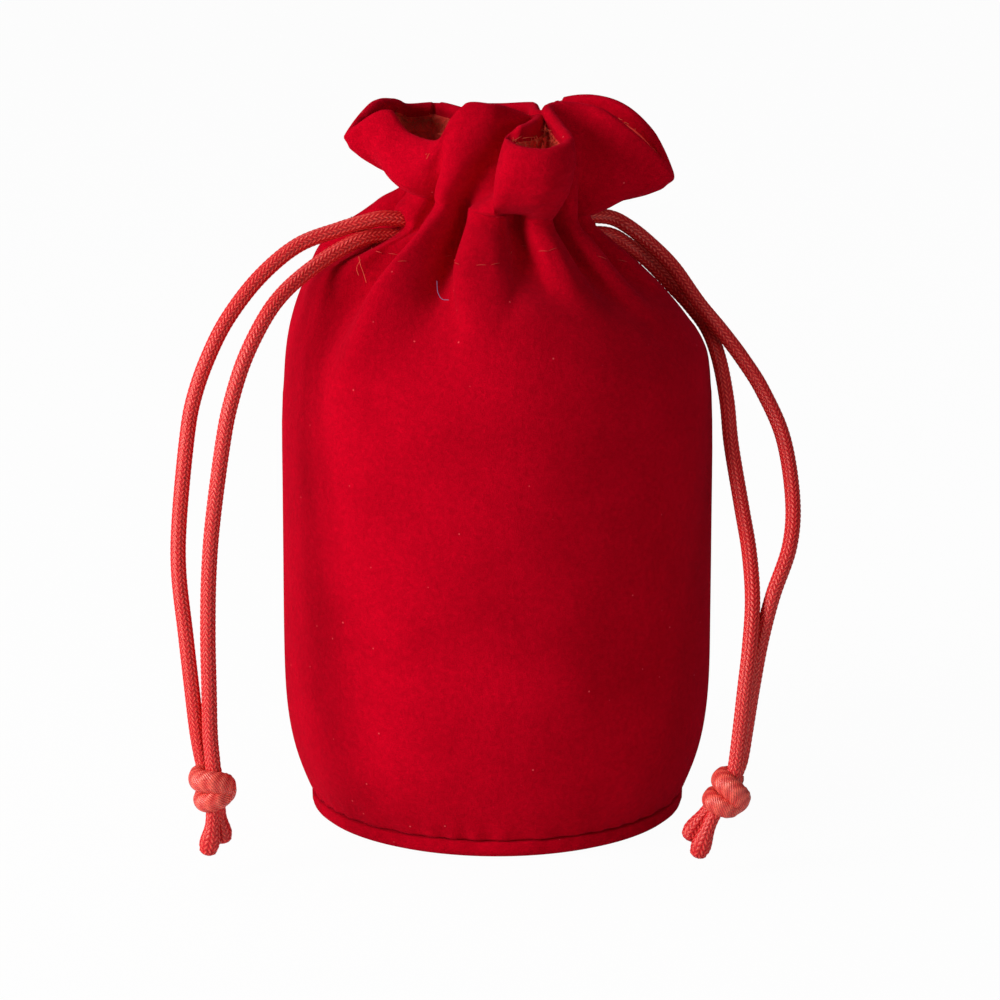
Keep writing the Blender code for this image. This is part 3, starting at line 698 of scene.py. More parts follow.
def reverse_finish(colors):
    """The woven back of the velvet, thread over thread, with painted shade in the hollows of the weave."""
    material, tree, shader = nodes_of("woven_reverse")
    place = tree.nodes.new("ShaderNodeUVMap")
    place.uv_map = "cloth"
    parts = tree.nodes.new("ShaderNodeSeparateXYZ")
    tree.links.new(place.outputs["UV"], parts.inputs[0])
    weave = []
    for axis, pitch in (("X", WARP_PITCH), ("Y", WEFT_PITCH)):
        turn = math_node(tree, "MULTIPLY", parts.outputs[axis], math.tau / pitch)
        weave.append(math_node(tree, "SINE", turn))
    level = wave_level(tree, math_node(tree, "MULTIPLY", weave[0], weave[1]))
    streaks = noise_node(tree, place.outputs["UV"], 700.0, 4.0)
    # Painted shade: the weave is painted darker in its hollows, where its bump sinks.
    deep = tuple(0.72 * c for c in colors.reverse)
    color = mix_node(tree, level, deep, tuple(colors.reverse))
    slub = ramp_node(tree, streaks.outputs["Fac"], greys((0.3, 0.75), (0.7, 1.2)))
    color = mix_node(tree, 0.8, color, slub.outputs["Color"], "MULTIPLY")
    tree.links.new(color, shader.inputs["Base Color"])
    set_inputs(shader, {
        "Roughness": 0.6, "Specular IOR Level": 0.15, "Sheen Weight": 0.5,
        "Sheen Tint": (1.0, 0.10, 0.08, 1.0),
    })
    bump_chain(tree, shader, ((level, 0.0002, 0.6), (streaks.outputs["Fac"], 0.0002, 0.4)))
    return material


def satin_finish(colors, name, roughness, yarn=None):
    """Satin yarn: painted highlight on the chevrons, painted shade deep in the grooves, with fine
    filaments.

    yarn gives the lie of single yarns where they aren't modelled: turns per metre across and along. Their
    lines carry painted shade between the yarns and a painted highlight on them.
    """
    material, tree, shader = nodes_of(name)
    shade = tree.nodes.new("ShaderNodeAttribute")
    shade.attribute_name = "shade"
    place = tree.nodes.new("ShaderNodeUVMap")
    place.uv_map = "cloth"
    stretch = tree.nodes.new("ShaderNodeMapping")
    stretch.inputs["Scale"].default_value = (5200.0, 900.0, 1.0)
    stretch.inputs["Rotation"].default_value = (0.0, 0.0, 0.35)
    tree.links.new(place.outputs["UV"], stretch.inputs["Vector"])
    filaments = noise_node(tree, stretch.outputs["Vector"], 1.0, 3.0)
    # Painted light: the shade attribute runs from the painted shade of the grooves through the plain cord
    # colour to the painted highlight of the crowns.
    color = ramp_node(tree, shade.outputs["Fac"], (
        (0.05, tuple(colors.cord_painted_shade)), (0.4, tuple(colors.cord)),
        (0.75, tuple(colors.cord)), (1.0, tuple(colors.cord_painted_highlight)))).outputs["Color"]
    streak = ramp_node(tree, filaments.outputs["Fac"], greys((0.3, 0.74), (0.68, 1.2)))
    color = mix_node(tree, 0.7, color, streak.outputs["Color"], "MULTIPLY")
    bumps = [(filaments.outputs["Fac"], 0.00012, 0.5)]
    if yarn is not None:
        lie = tree.nodes.new("ShaderNodeVectorMath")
        lie.operation = "DOT_PRODUCT"
        lie.inputs[1].default_value = (math.tau * yarn[0], math.tau * yarn[1], 0.0)
        tree.links.new(place.outputs["UV"], lie.inputs[0])
        level = wave_level(tree, math_node(tree, "SINE", lie.outputs["Value"]))
        # Painted shade between the unmodelled yarns, painted highlight on their tops.
        yarn_light_and_shade = ramp_node(tree, level, ((0.08, (0.66, 0.50, 0.50)), (0.55, (1.05, 1.05, 1.05))))
        color = mix_node(tree, 0.8, color, yarn_light_and_shade.outputs["Color"], "MULTIPLY")
        bumps.append((level, 0.00010, 0.7))
    tree.links.new(color, shader.inputs["Base Color"])
    set_inputs(shader, {
        "Roughness": roughness, "Specular IOR Level": 0.5 if yarn is None else 0.95,
        "Specular Tint": (1.0, 0.72, 0.62, 1.0),
        "Sheen Weight": 0.10, "Sheen Tint": (0.9, 0.06, 0.06, 1.0),
    })
    bump_chain(tree, shader, bumps)
    return material


def thread_finish(color_set, name):
    """Sewing thread and loose yarn ends."""
    material, tree, shader = nodes_of(name)
    place = tree.nodes.new("ShaderNodeTexCoord").outputs["Object"]
    fibres = noise_node(tree, place, 2600.0, 2.0)
    deep = tuple(0.6 * c for c in color_set)
    color = mix_node(tree, fibres.outputs["Fac"], deep, tuple(color_set))
    tree.links.new(color, shader.inputs["Base Color"])
    set_inputs(shader, {"Roughness": 0.5, "Specular IOR Level": 0.15})
    return material


def floor_finish(colors):
    """Pale studio paper that shows white to the camera and keeps a soft shadow."""
    material, tree, shader = nodes_of("studio_paper")
    place = tree.nodes.new("ShaderNodeTexCoord").outputs["Object"]
    grain = noise_node(tree, place, 300.0, 3.0)
    tone = ramp_node(tree, grain.outputs["Fac"], (
        (0.3, tuple(0.985 * c for c in colors.floor)), (0.7, tuple(colors.floor))))
    tree.links.new(tone.outputs["Color"], shader.inputs["Base Color"])
    set_inputs(shader, {"Roughness": 0.9, "Specular IOR Level": 0.1})
    glow = tree.nodes.new("ShaderNodeEmission")
    set_inputs(glow, {"Color": (1.0, 1.0, 1.0, 1.0), "Strength": 1.0})
    path = tree.nodes.new("ShaderNodeLightPath")
    share = math_node(tree, "MULTIPLY", path.outputs["Is Camera Ray"], FLOOR_WHITE_SHARE)
    blend = tree.nodes.new("ShaderNodeMixShader")
    tree.links.new(share, blend.inputs["Fac"])
    tree.links.new(shader.outputs["BSDF"], blend.inputs[1])
    tree.links.new(glow.outputs["Emission"], blend.inputs[2])
    tree.links.new(blend.outputs["Shader"], tree.nodes["Material Output"].inputs["Surface"])
    return material


def finish(name, maker):
    """The named material, made once."""
    existing = bpy.data.materials.get(name)
    return existing if existing else maker()


def velvet(colors):
    """The pile side of the cloth."""
    return finish("velvet_pile", lambda: velvet_finish(colors))


def reverse(colors):
    """The woven back of the cloth, and the tape."""
    return finish("woven_reverse", lambda: reverse_finish(colors))


def satin(colors):
    """The braid of the cords."""
    return finish("satin_braid", lambda: satin_finish(colors, "satin_braid", SATIN_ROUGHNESS))


def knot_satin(colors):
    """The braid where a knot draws it tight."""
    return finish("satin_knot", lambda: satin_finish(colors, "satin_knot", KNOT_ROUGHNESS, KNOT_YARNS))


def sewing_thread(colors):
    """Frayed yarn and loose sewing thread."""
    return finish("sewing_thread", lambda: thread_finish(colors.thread, "sewing_thread"))


# Cloth


def cloth_columns(count):
    """Fabric columns as arrays: crease angle, width, share across, depth, run, swing."""
    rows = []
    for index, crease in enumerate(CREASES):
        following = CREASES[(index + 1) % len(CREASES)]
        width = (following[0] - crease[0]) % 360.0
        steps = max(8, int(round(count * width / 360.0)))
        for step in range(steps):
            share = step / steps
            ease = float(eased(share))
            depth, run, swing = [crease[k] + (following[k] - crease[k]) * ease for k in (1, 2, 3)]
            rows.append((crease[0], width, share, depth, run, swing))
    return np.array(rows)


def cord_bed(angle, height, cord):
    """How far the strands press the shoulder in."""
    rising = eased((height - NECK_HEIGHT + BED_RUN) / BED_RUN)
    ending = eased((CHANNEL_MIDDLE + cord - height) / BED_FADE)
    depth = 0.0
    for exit_deg in (LEFT_EXIT_DEG, RIGHT_EXIT_DEG):
        aside = (angle - exit_deg + 180.0) % 360.0 - 180.0
        depth = depth + BED_DEPTH * np.exp(-(aside / BED_HALF_WIDTH_DEG) ** 2)
    return depth * rising * ending


def shoulder_fold(angle, height):
    """Rise of the cloth by the soft folds that fan out below the neck."""
    rise = np.zeros_like(angle)
    for start, end, half_width, amount in SHOULDER_FOLDS:
        along = (start[1] * MM - height) / ((start[1] - end[1]) * MM)
        middle = start[0] + (end[0] - start[0]) * along
        aside = (angle - middle + 180.0) % 360.0 - 180.0
        spread = half_width * (1.0 + FOLD_WIDENING * np.clip(along, 0.0, 1.2))
        shape = np.exp(-(aside / spread) ** 2)
        inside = eased(along / FOLD_START + 1.0) * eased((FOLD_END - along) / FOLD_FADE)
        rise = rise + amount * MM * shape * inside
    return rise


def wandering(u, v, seed):
    """A smooth unevenness, mostly between -1 and 1, the same each time."""
    total = np.zeros_like(u)
    for k in range(5):
        a = 1.7 + 0.9 * k + 0.37 * seed
        b = 0.8 + 0.65 * k + 0.23 * seed
        rising = np.sin(round(a) * u + b * v + 1.3 * k + seed)
        crossing = np.cos(round(b * 2) * u - a * v + 0.7 * seed)
        total = total + rising * crossing
    return total / 3.2


def bell(height, middle, run):
    """1 at the middle height, fading out over the run above and below it."""
    return math.exp(-((height - middle) / run) ** 2)


def gathered(columns, radius, height, sizes):
    """One row of the cloth at a crest radius and height."""
    crease, width, share, depth, run, swing = columns.T
    floor = CORD_RING_RADIUS + sizes.cord_diameter / 2.0 + CREASE_CLEARANCE
    depth = np.minimum(radius - sizes.cloth_thickness - floor, depth * sizes.neck_radius)
    run = run * (PINCH_HEIGHT - SHOULDER_HEIGHT)
    drawn = eased((height - NECK_HEIGHT + run) / run)
    valley = 0.5 + 0.5 * np.cos(math.tau * share)
    phase = math.tau * (share - 0.5)
    turn = 0.5 * FOLD_TURN * np.sin(2.0 * phase) + FOLD_FULLNESS * np.sin(phase)
    aside = swing * eased((NECK_HEIGHT - height) / SWING_RUN)
    angle = np.radians(crease + width * (0.5 + (phase + drawn * turn) / math.tau) + aside)
    degrees = np.degrees(angle)
    growth = 0.5 + 0.5 * eased((height - UNEVENNESS_START) / UNEVENNESS_GROWTH)
    uneven = UNEVENNESS * wandering(angle, height / UNEVENNESS_RUN, 1.0) * growth
    corner = CORNER_SOFTENING * bell(height, SHOULDER_HEIGHT, CORNER_RUN)
    seam_wave = np.sin(angle * 41.0 + 2.0 * np.sin(angle * 7.0))
    pucker = SEAM_PUCKER * seam_wave * bell(height, SEAM_HEIGHT, SEAM_PUCKER_RUN)
    channel_wave = np.sin(angle * 37.0 + 3.0 * np.sin(angle * 5.0))
    gathers = bell(height, NECK_HEIGHT - CHANNEL_GATHER_DROP, CHANNEL_GATHER_RUN)
    gather = CHANNEL_GATHER * channel_wave * gathers
    reach = (radius - depth * drawn * valley - cord_bed(degrees, height, sizes.cord_diameter)
             + shoulder_fold(degrees, height) + uneven + pucker + gather - corner)
    return np.column_stack([reach * np.cos(angle), reach * np.sin(angle), np.full(len(angle), height)])


def rim_points(angles):
    """The rim of the ruffle at each cloth angle."""
    points = np.array(RIM) * MM
    closed = np.vstack([points, points[:1]])
    walked = distances(closed)
    around = 360.0 * walked / walked[-1]
    turns = (angles - RIM_START_DEG) % 360.0
    count = len(points)
    result = []
    for turn in turns:
        index = min(count - 1, int(np.searchsorted(around, turn, side="right")) - 1)
        t = (turn - around[index]) / (around[index + 1] - around[index])
        before, start, end, after = [points[(index + k) % count] for k in (-1, 0, 1, 2)]
        result.append(curve_point(before, start, end, after, t))
    return np.array(result)


def hanging(angles):
    """How far each column's lobe hangs out, aside and down."""
    total = np.zeros((len(angles), 3))
    for middle, half_width, *reach in HANGING_LOBES:
        away = (angles - middle + 180.0) % 360.0 - 180.0
        total += np.exp(-(away / half_width) ** 2)[:, None] * np.array(reach) * MM
    return total


def ruffle_row(start, rim, angles, share):
    """One row of the ruffle between the pinch and the rim."""
    rise = np.zeros_like(rim)
    rise[:, 2] = rim[:, 2] - start[:, 2]
    gain = np.maximum(0.0, np.linalg.norm(rim[:, :2], axis=1) - np.linalg.norm(start[:, :2], axis=1))
    outward = rim * np.array((1.0, 1.0, 0.0))
    outward = outward / np.linalg.norm(outward, axis=1)[:, None]
    sideways = outward[:, [1, 0, 2]] * np.array((1.0, -1.0, 0.0))
    hang = hanging(angles)
    away = outward * hang[:, :1] + sideways * hang[:, 1:2]
    drop = hang[:, 2:] * np.array((0.0, 0.0, -1.0))
    first = start + outward * gain[:, None] * FLARE_REACH + rise * FLARE_RISE + away + drop
    second = rim - rise * RIM_RISE + outward * LOBE_BELLY + away * BELLY_SHARE
    rest = 1.0 - share
    row = (start * rest ** 3 + first * 3 * rest * rest * share
           + second * 3 * rest * share * share + rim * share ** 3)
    uneven = wandering(np.radians(angles) * 2.0, share * 4.0, 2.0)
    wave = RUFFLE_UNEVENNESS * uneven * math.sin(math.pi * share)
    return row + outward * wave[:, None]


def shoulder_rows():
    """Shares in and up of each row of the shoulder, on a smooth curve through its profile."""
    profile = [(inwards, upwards, 0.0) for inwards, upwards in SHOULDER_PROFILE]
    line, _ = smooth_line(profile, 1.0 / SHOULDER_ROWS)
    return [(float(point[0]), float(point[1])) for point in line]


def cloth_rows(sizes):
    """Every row of the cloth's outer face, and the angle of each column."""
    columns = cloth_columns(CLOTH_COLUMNS)
    angles = columns[:, 0] + columns[:, 1] * columns[:, 2]
    places = []
    for row in range(LOWER_ROWS + 1):
        share = (row / LOWER_ROWS) ** 1.5
        radius = sizes.body_radius - (sizes.body_radius - SEAM_RADIUS) * (1.0 - share) ** FOOT_ROUNDNESS
        places.append((radius, SEAM_HEIGHT + share * (BODY_FULL_HEIGHT - SEAM_HEIGHT)))
    for row in range(1, STRAIGHT_ROWS):
        share = row / STRAIGHT_ROWS
        places.append((sizes.body_radius, BODY_FULL_HEIGHT + (SHOULDER_HEIGHT - BODY_FULL_HEIGHT) * share))
    for inwards, upwards in shoulder_rows():
        places.append((
            sizes.body_radius - (sizes.body_radius - sizes.neck_radius) * inwards,
            SHOULDER_HEIGHT + (PINCH_HEIGHT - SHOULDER_HEIGHT) * upwards))
    rows = [gathered(columns, radius, height, sizes) for radius, height in places]
    pinch = rows[-1]
    rims = rim_points(angles) + np.array((0.0, 0.0, PINCH_HEIGHT))
    for row in range(1, RUFFLE_ROWS + 1):
        rows.append(ruffle_row(pinch, rims, angles, row / RUFFLE_ROWS))
    return leaned(np.array(rows)), angles


def grid_normals(grid):
    """Outward normals of the cloth's outer face."""
    around = np.roll(grid, -1, axis=1) - np.roll(grid, 1, axis=1)
    up = np.empty_like(grid)
    up[1:-1] = grid[2:] - grid[:-2]
    up[0] = grid[1] - grid[0]
    up[-1] = grid[-1] - grid[-2]
    normal = np.cross(around, up)
    return normal / np.maximum(1e-12, np.linalg.norm(normal, axis=2))[:, :, None]


def cloth_distances(grid):
    """How far up the cloth each row is, along its columns."""
    steps = np.linalg.norm(np.diff(grid, axis=0), axis=2)
    return np.vstack([np.zeros(grid.shape[1]), np.cumsum(steps, axis=0)])


def stripes(rows, columns):
    """Faces between each two following rows of a closed grid, row by row."""
    index = np.arange(rows * columns).reshape(rows, columns)
    faces = []
    for row in range(rows):
        low = index[row]
        high = index[(row + 1) % rows]
        corners = (np.roll(low, 1), low, high, np.roll(high, 1))
        faces.append(list(zip(*(corner.tolist() for corner in corners))))
    return faces


class SewnCloth:
    """The wall's outer and inner faces, kept for what is sewn to them."""

    def __init__(self, sizes):
        self.outer, self.angles = cloth_rows(sizes)
        self.normals = grid_normals(self.outer)
        self.walked = cloth_distances(self.outer)
        self.below_rim = self.walked[-1][None, :] - self.walked
        hem = eased((sizes.hem_depth - self.below_rim) / HEM_EASE + 1.0)
        soft = 1.0 + HEM_PUFF * hem + RIM_PUFF * eased(1.0 - self.below_rim / RIM_PUFF_RUN)
        self.thickness = sizes.cloth_thickness * soft
        full = self.thickness
        for _ in range(FOLD_PASSES):
            self.inner = self.outer - self.normals * self.thickness[:, :, None]
            facing_out = np.sum(grid_normals(self.inner) * self.normals, axis=2)
            tight = (facing_out < FOLD_LEAST_FACING).astype(float)
            for axis in (0, 1, 0, 1):
                beside = np.maximum(np.roll(tight, 1, axis=axis), np.roll(tight, -1, axis=axis))
                tight = np.maximum(tight, beside)
            self.thickness = self.thickness * (1.0 - FOLD_THINNING * tight)
        self.folded = (self.thickness < full * 0.9) & (self.below_rim > sizes.hem_depth + HEM_EASE)


def sew_wall(cloth, sizes, colors):
    """The velvet wall: pile outside and over the rolled rim, its woven back inside."""
    outer, inner = cloth.outer, cloth.inner
    rim_up = outer[-1] - outer[-2]
    rim_up = rim_up / np.linalg.norm(rim_up, axis=1)[:, None]
    half = cloth.thickness[-1][:, None] / 2.0
    middle = (outer[-1] + inner[-1]) / 2.0
    rolls = []
    for row in range(1, ROLL_ROWS + 1):
        turn = math.pi * row / (ROLL_ROWS + 1)
        out = cloth.normals[-1] * half
        rolls.append(middle + out * math.cos(turn) + rim_up * half * math.sin(turn))
    ruffle_start = len(outer) - RUFFLE_ROWS
    inside = [row for row in range(len(outer) - 1, -1, -1)
              if row >= ruffle_start or row % INNER_STEP == 0]
    grid = np.concatenate([outer, np.array(rolls), inner[inside]])
    top = cloth.walked[-1:]
    over_rim = np.repeat(top, ROLL_ROWS, axis=0)
    distance = np.concatenate([cloth.walked, over_rim, 2.0 * top - cloth.walked[inside]])
    around = np.radians(cloth.angles) * sizes.body_radius
    uvs = np.column_stack([np.tile(around, len(grid)), distance.ravel()])
    first_inside = len(outer) + ROLL_ROWS
    lip = first_inside + sum(1 for row in inside if np.mean(cloth.below_rim[row]) <= sizes.lip_depth)
    faces = []
    slots = []
    for row, stripe in enumerate(stripes(len(grid), grid.shape[1])):
        faces.extend(stripe)
        if row < lip or row == len(grid) - 1:
            slots.extend([0] * len(stripe))
        else:
            slots.extend(np.where(cloth.folded[inside[row - first_inside]], 0, 1).tolist())
    wall = new_object("velvet_wall", grid.reshape(-1, 3), faces, [velvet(colors), reverse(colors)],
                      uvs=uvs, face_materials=slots)
    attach(wall, ROOT)
    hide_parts("pouch_wall")
    return wall


def turned_cloth(name, section, columns, ripple, materials, slots):
    """A sewn round piece: a closed section of (radius, height) turned about the middle.

    ripple gives how far each point of the section puckers; slots gives each stripe's material.
    """
    angle = math.tau * np.arange(columns) / columns
    gathers = np.sin(angle * 43.0 + 2.2 * np.sin(angle * 6.0)) + 0.6 * np.sin(angle * 17.0 + 1.1)
    rows = []
    for (radius, height), amount in zip(section, ripple):
        reach = radius + amount * gathers
        level = height + 0.5 * amount * gathers
        rows.append(np.column_stack([reach * np.cos(angle), reach * np.sin(angle), level]))
    grid = np.array(rows)
    along = distances(np.array(section))
    around = max(radius for radius, _ in section) * angle
    uvs = np.column_stack([np.tile(around, len(section)), np.repeat(along, columns)])
    faces = []
    face_slots = []
    for stripe, slot in zip(stripes(len(section), columns), slots):
        faces.extend(stripe)
        face_slots.extend([slot] * len(stripe))
    return new_object(name, grid.reshape(-1, 3), faces, materials,
                      uvs=uvs, face_materials=face_slots)


def sew_base(sizes, colors):
    """The round base: velvet below and over the seam roll, woven back inside, its allowance turned up."""
    roll_radius = SEAM_RADIUS + ROLL_BULGE
    top = SEAM_HEIGHT + SEAM_ALLOWANCE
    allowance = SEAM_RADIUS - sizes.cloth_thickness - GAP
    inside = allowance - sizes.cloth_thickness
    standing = FLOOR_RADIUS - BASE_ROUNDING
    section = [(BASE_MIDDLE, 0.0)]
    section += [(standing * share, 0.0) for share in (0.25, 0.5, 0.75, 0.9, 0.97)]
    for step in range(1, BASE_ROLL_STEPS):
        turn = math.pi * step / BASE_ROLL_STEPS
        reach = (roll_radius - standing) * math.sin(min(turn, math.pi / 2.0))
        lean = 0.5 - 0.5 * math.cos(turn)
        section.append((standing + reach, (SEAM_HEIGHT - GAP) * lean))
    section += [(SEAM_RADIUS, SEAM_HEIGHT - GAP), (allowance, SEAM_HEIGHT - GAP)]
    velvet_stripes = len(section) - 1
    section += [(allowance, SEAM_HEIGHT + SEAM_ALLOWANCE * share) for share in (0.35, 0.7, 1.0)]
    section += [(inside, top - SEAM_ALLOWANCE * share) for share in (0.0, 0.3, 0.65, 0.9)]
    section += [(inside - sizes.cloth_thickness, sizes.cloth_thickness)]
    section += [(FLOOR_RADIUS * share, sizes.cloth_thickness) for share in (0.75, 0.5, 0.25)]
    section += [(BASE_MIDDLE, sizes.cloth_thickness)]
    ripple = []
    for radius, height in section:
        share = bell(height, SEAM_HEIGHT, BASE_PUCKER_RUN) * (1.0 if radius > allowance else 0.3)
        ripple.append(BASE_PUCKER * share)
    slots = [0 if index < velvet_stripes else 1 for index in range(len(section))]
    base = turned_cloth("velvet_base", section, BASE_COLUMNS, ripple,
                        [velvet(colors), reverse(colors)], slots)
    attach(base, ROOT)
    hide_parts("base_disc")
    return base


def sew_tape(sizes, colors):
    """The casing tape: a narrow woven band between the cords and the room inside the neck."""
    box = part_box("channel_tape")
    bore = CORD_RING_RADIUS - sizes.cord_diameter / 2.0 - GAP
    thick = TAPE_THICKNESS
    reach = sizes.cord_diameter + CORD_LANE_GAP
    low = CHANNEL_MIDDLE - reach - sizes.cord_diameter / 2.0 - GAP
    high = CHANNEL_MIDDLE + reach + sizes.cord_diameter / 2.0 + GAP
    seat = CORD_RING_RADIUS + sizes.cord_diameter / 2.0 + CREASE_CLEARANCE - GAP
    top = seat - TAPE_TOP_ROOM
    foot = seat + TAPE_FOOT
    section = [(bore - thick, low - thick), (foot, low - thick), (foot, low), (bore, low)]
    section += [(bore, low + (high - low) * share) for share in (0.33, 0.67, 1.0)]
    section += [(top, high), (top, high + thick), (bore - thick, high + thick)]
    section += [(bore - thick, low + (high - low) * share) for share in (0.75, 0.5, 0.25)]
    ripple = [TAPE_PUCKER] * len(section)
    tape = turned_cloth("woven_casing", section, TAPE_COLUMNS, ripple,
                        [reverse(colors)], [0] * len(section))
    grid = leaned([vertex.co[:] for vertex in tape.data.vertices])
    grid = np.clip(grid, np.array(box[0]) - TAPE_BOX_ROOM, np.array(box[1]) + TAPE_BOX_ROOM)
    tape.data.vertices.foreach_set("co", grid.ravel())
    tape.data.update()
    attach(tape, ROOT)
    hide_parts("channel_tape")
    return tape


def surface_line(cloth, line, step):
    """Points at even distances along a line of (angle, height) drawn on the cloth, with its normals."""
    turns = np.arange(-180.0, 180.0, 0.5)
    heights = np.interp(turns, [a for a, _ in line], [h * MM for _, h in line])
    lower = len(cloth.outer) - RUFFLE_ROWS
    wall = cloth.outer[:lower]
    share = eased((wall[..., 2] - SHOULDER_HEIGHT) / LEAN_RUN)
    points = []
    normals = []
    actual = np.degrees(np.arctan2(wall[..., 1], wall[..., 0]))
    for turn, height in zip(turns, heights):
        rise = height - TOP_LEAN * share * wall[..., 0]
        aside = np.abs((actual - turn + 180.0) % 360.0 - 180.0)
        miss = np.abs(wall[..., 2] - rise) + aside * LINE_TURN_WEIGHT
        row, column = np.unravel_index(int(np.argmin(miss)), miss.shape)
        points.append(cloth.outer[row, column])
        normals.append(cloth.normals[row, column])
    points = np.array(points)
    walked = distances(points)
    places = np.arange(0.0, walked[-1], step)
    spread = [np.interp(places, walked, points[:, k]) for k in range(3)]
    out = [np.interp(places, walked, np.array(normals)[:, k]) for k in range(3)]
    return np.column_stack(spread), np.column_stack(out)


def sew_stitches(cloth, sizes, colors):
    """Running stitches below the channel: short dashes of thread that dip into the pile."""
    step = sizes.stitch_length * (1.0 + STITCH_GAP_SHARE)
    points, normals = surface_line(cloth, STITCH_LINE, step)
    radius = sizes.thread_diameter / 2.0
    pattern = []
    sides, steps = 8, 8
    for k in range(steps + 1):
        along = k / steps
        bow = math.sin(math.pi * along)
        reach = radius * (0.35 + 0.65 * bow ** 0.5)
        for side in range(sides):
            turn = math.tau * side / sides
            pattern.append((reach * math.cos(turn), reach * math.sin(turn) + radius * (1.4 * bow - 0.8),
                            sizes.stitch_length * (along - 0.5)))
    places = []
    chance = np.random.default_rng(3)
    for index in range(1, len(points) - 1):
        sunk = chance.random() > STITCHES_SEEN
        if sunk or np.linalg.norm(points[index + 1] - points[index]) > 2.2 * step:
            continue
        along = unit(points[index + 1] - points[index - 1])
        out = unit(normals[index] - along * np.dot(normals[index], along))
        across = np.cross(out, along)
        turn = Matrix((across, out, along)).transposed().to_4x4()
        places.append(Matrix.Translation(Vector(points[index] + out * STITCH_LIFT)) @ turn)
    thread = finish("stitch_thread", lambda: thread_finish(colors.stitch, "stitch_thread"))
    stitch = (np.array(pattern), ringed_faces(sides, steps))
    stitches = joined_copies("channel_stitches", [stitch], places, [thread])
    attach(stitches, ROOT)
    return stitches


def fray_edge(cloth, sizes, colors):
    """Frayed yarns along the raw edge that shows inside the rim."""
    chance = np.random.default_rng(11)
    patterns = [curled_yarn(length * MM, bend, YARN_RADIUS) for length, bend in FRAYED_YARNS]
    ruffle_start = len(cloth.outer) - RUFFLE_ROWS
    places = []
    columns = cloth.outer.shape[1]
    for column in range(columns):
        for _ in range(YARNS_PER_COLUMN):
            goal = sizes.lip_depth * (0.8 + 1.1 * chance.random())
            row = ruffle_start + int(np.argmin(np.abs(cloth.below_rim[ruffle_start:, column] - goal)))
            root = cloth.inner[row, column]
            inward = -cloth.normals[row, column]
            sideways = unit(cloth.inner[row, (column + 1) % columns] - root)
            down = unit(cloth.inner[row - 1, column] - root)
            way = (inward * (0.12 + 0.20 * chance.random()) + down * (0.1 + 0.6 * chance.random())
                   + sideways * (chance.random() * 2.6 - 1.3))
            roll = math.tau * chance.random()
            if math.hypot(root[0], root[1]) < FRAY_REACH:
                places.append(facing(root + inward * 0.05 * MM, way, roll))
    fray = joined_copies("frayed_edge", patterns, places, [sewing_thread(colors)])
    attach(fray, ROOT)
    return fray


def lay_threads(sizes, colors):
    """The loose threads that cling to the shoulder."""
    thread = sewing_thread(colors)
    stray = finish("stray_thread", lambda: thread_finish(colors.stray, "stray_thread"))
    radius = sizes.thread_diameter * LOOSE_THREAD_SHARE
    laid = [(route, thread) for route in LOOSE_THREADS] + [(GREY_THREAD, stray)]
    for index, (route, material) in enumerate(laid):
        line, _ = smooth_line(np.array(route) * MM, LOOSE_THREAD_STEP)
        radii = np.full((len(line), 2), radius)
        piece = tube("loose_thread_" + str(index + 1), line, radii, [material], sides=8)
        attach(piece, ROOT)


# Cords


def tube(name, points, radii, materials, relief=None, sides=24, normals=None):
    """A tube of elliptical section along points, with rounded ends. radii are across and deep."""
    count = len(points)
    tangent = np.gradient(points, axis=0)
    tangent /= np.linalg.norm(tangent, axis=1)[:, None]
    if normals is None:
        normal = np.empty_like(points)
        first = np.cross(tangent[0], (0.0, 0.0, 1.0))
        if np.linalg.norm(first) < 0.1:
            first = np.cross(tangent[0], (0.0, 1.0, 0.0))
        normal[0] = first / np.linalg.norm(first)
        for i in range(1, count):
            turned = normal[i - 1] - tangent[i] * np.dot(normal[i - 1], tangent[i])
            normal[i] = turned / np.linalg.norm(turned)
    else:
        normal = normals - tangent * np.sum(normals * tangent, axis=1)[:, None]
        normal /= np.linalg.norm(normal, axis=1)[:, None]
    across = np.cross(tangent, normal)
    walked = distances(points)
    turn = math.tau * np.arange(sides) / sides
    size = np.ones((count, sides))
    shade = np.ones((count, sides))
    if relief is not None:
        size, shade = relief(turn[None, :], walked[:, None])
    wide = radii[:, 0][:, None] * size
    deep = radii[:, 1][:, None] * size
    body = (points[:, None, :]
            + across[:, None, :] * (wide * np.cos(turn))[:, :, None]
            + normal[:, None, :] * (deep * np.sin(turn))[:, :, None])
    verts = list(body.reshape(-1, 3))
    uvs = [(t * radii[0, 0], w) for w in walked for t in turn]
    shades = list(shade.ravel())
    faces = []
    for i in range(count - 1):
        for j in range(sides):
            k = (j + 1) % sides
            faces.append((i * sides + j, i * sides + k, (i + 1) * sides + k, (i + 1) * sides + j))
    for end, sign in ((0, -1.0), (count - 1, 1.0)):
        ring = [end * sides + j for j in range(sides)]
        lift = radii[end].min() * 0.5
        small = len(verts)
        for j in ring:
            verts.append(points[end] + (verts[j] - points[end]) * 0.6 + sign * tangent[end] * lift * 0.7)
            uvs.append((0.0, walked[end]))
            shades.append(END_RING_SHADE)
        verts.append(points[end] + sign * tangent[end] * lift)
        uvs.append((0.0, walked[end]))
        shades.append(END_SHADE)
        for j in range(sides):
            k = (j + 1) % sides
            outer = (ring[j], ring[k], small + k, small + j)
            cap = (small + j, small + k, small + sides)
            faces.append(outer if sign > 0 else outer[::-1])
            faces.append(cap if sign > 0 else cap[::-1])
    return new_object(name, verts, faces, materials, uvs=uvs, painted_light=shades)


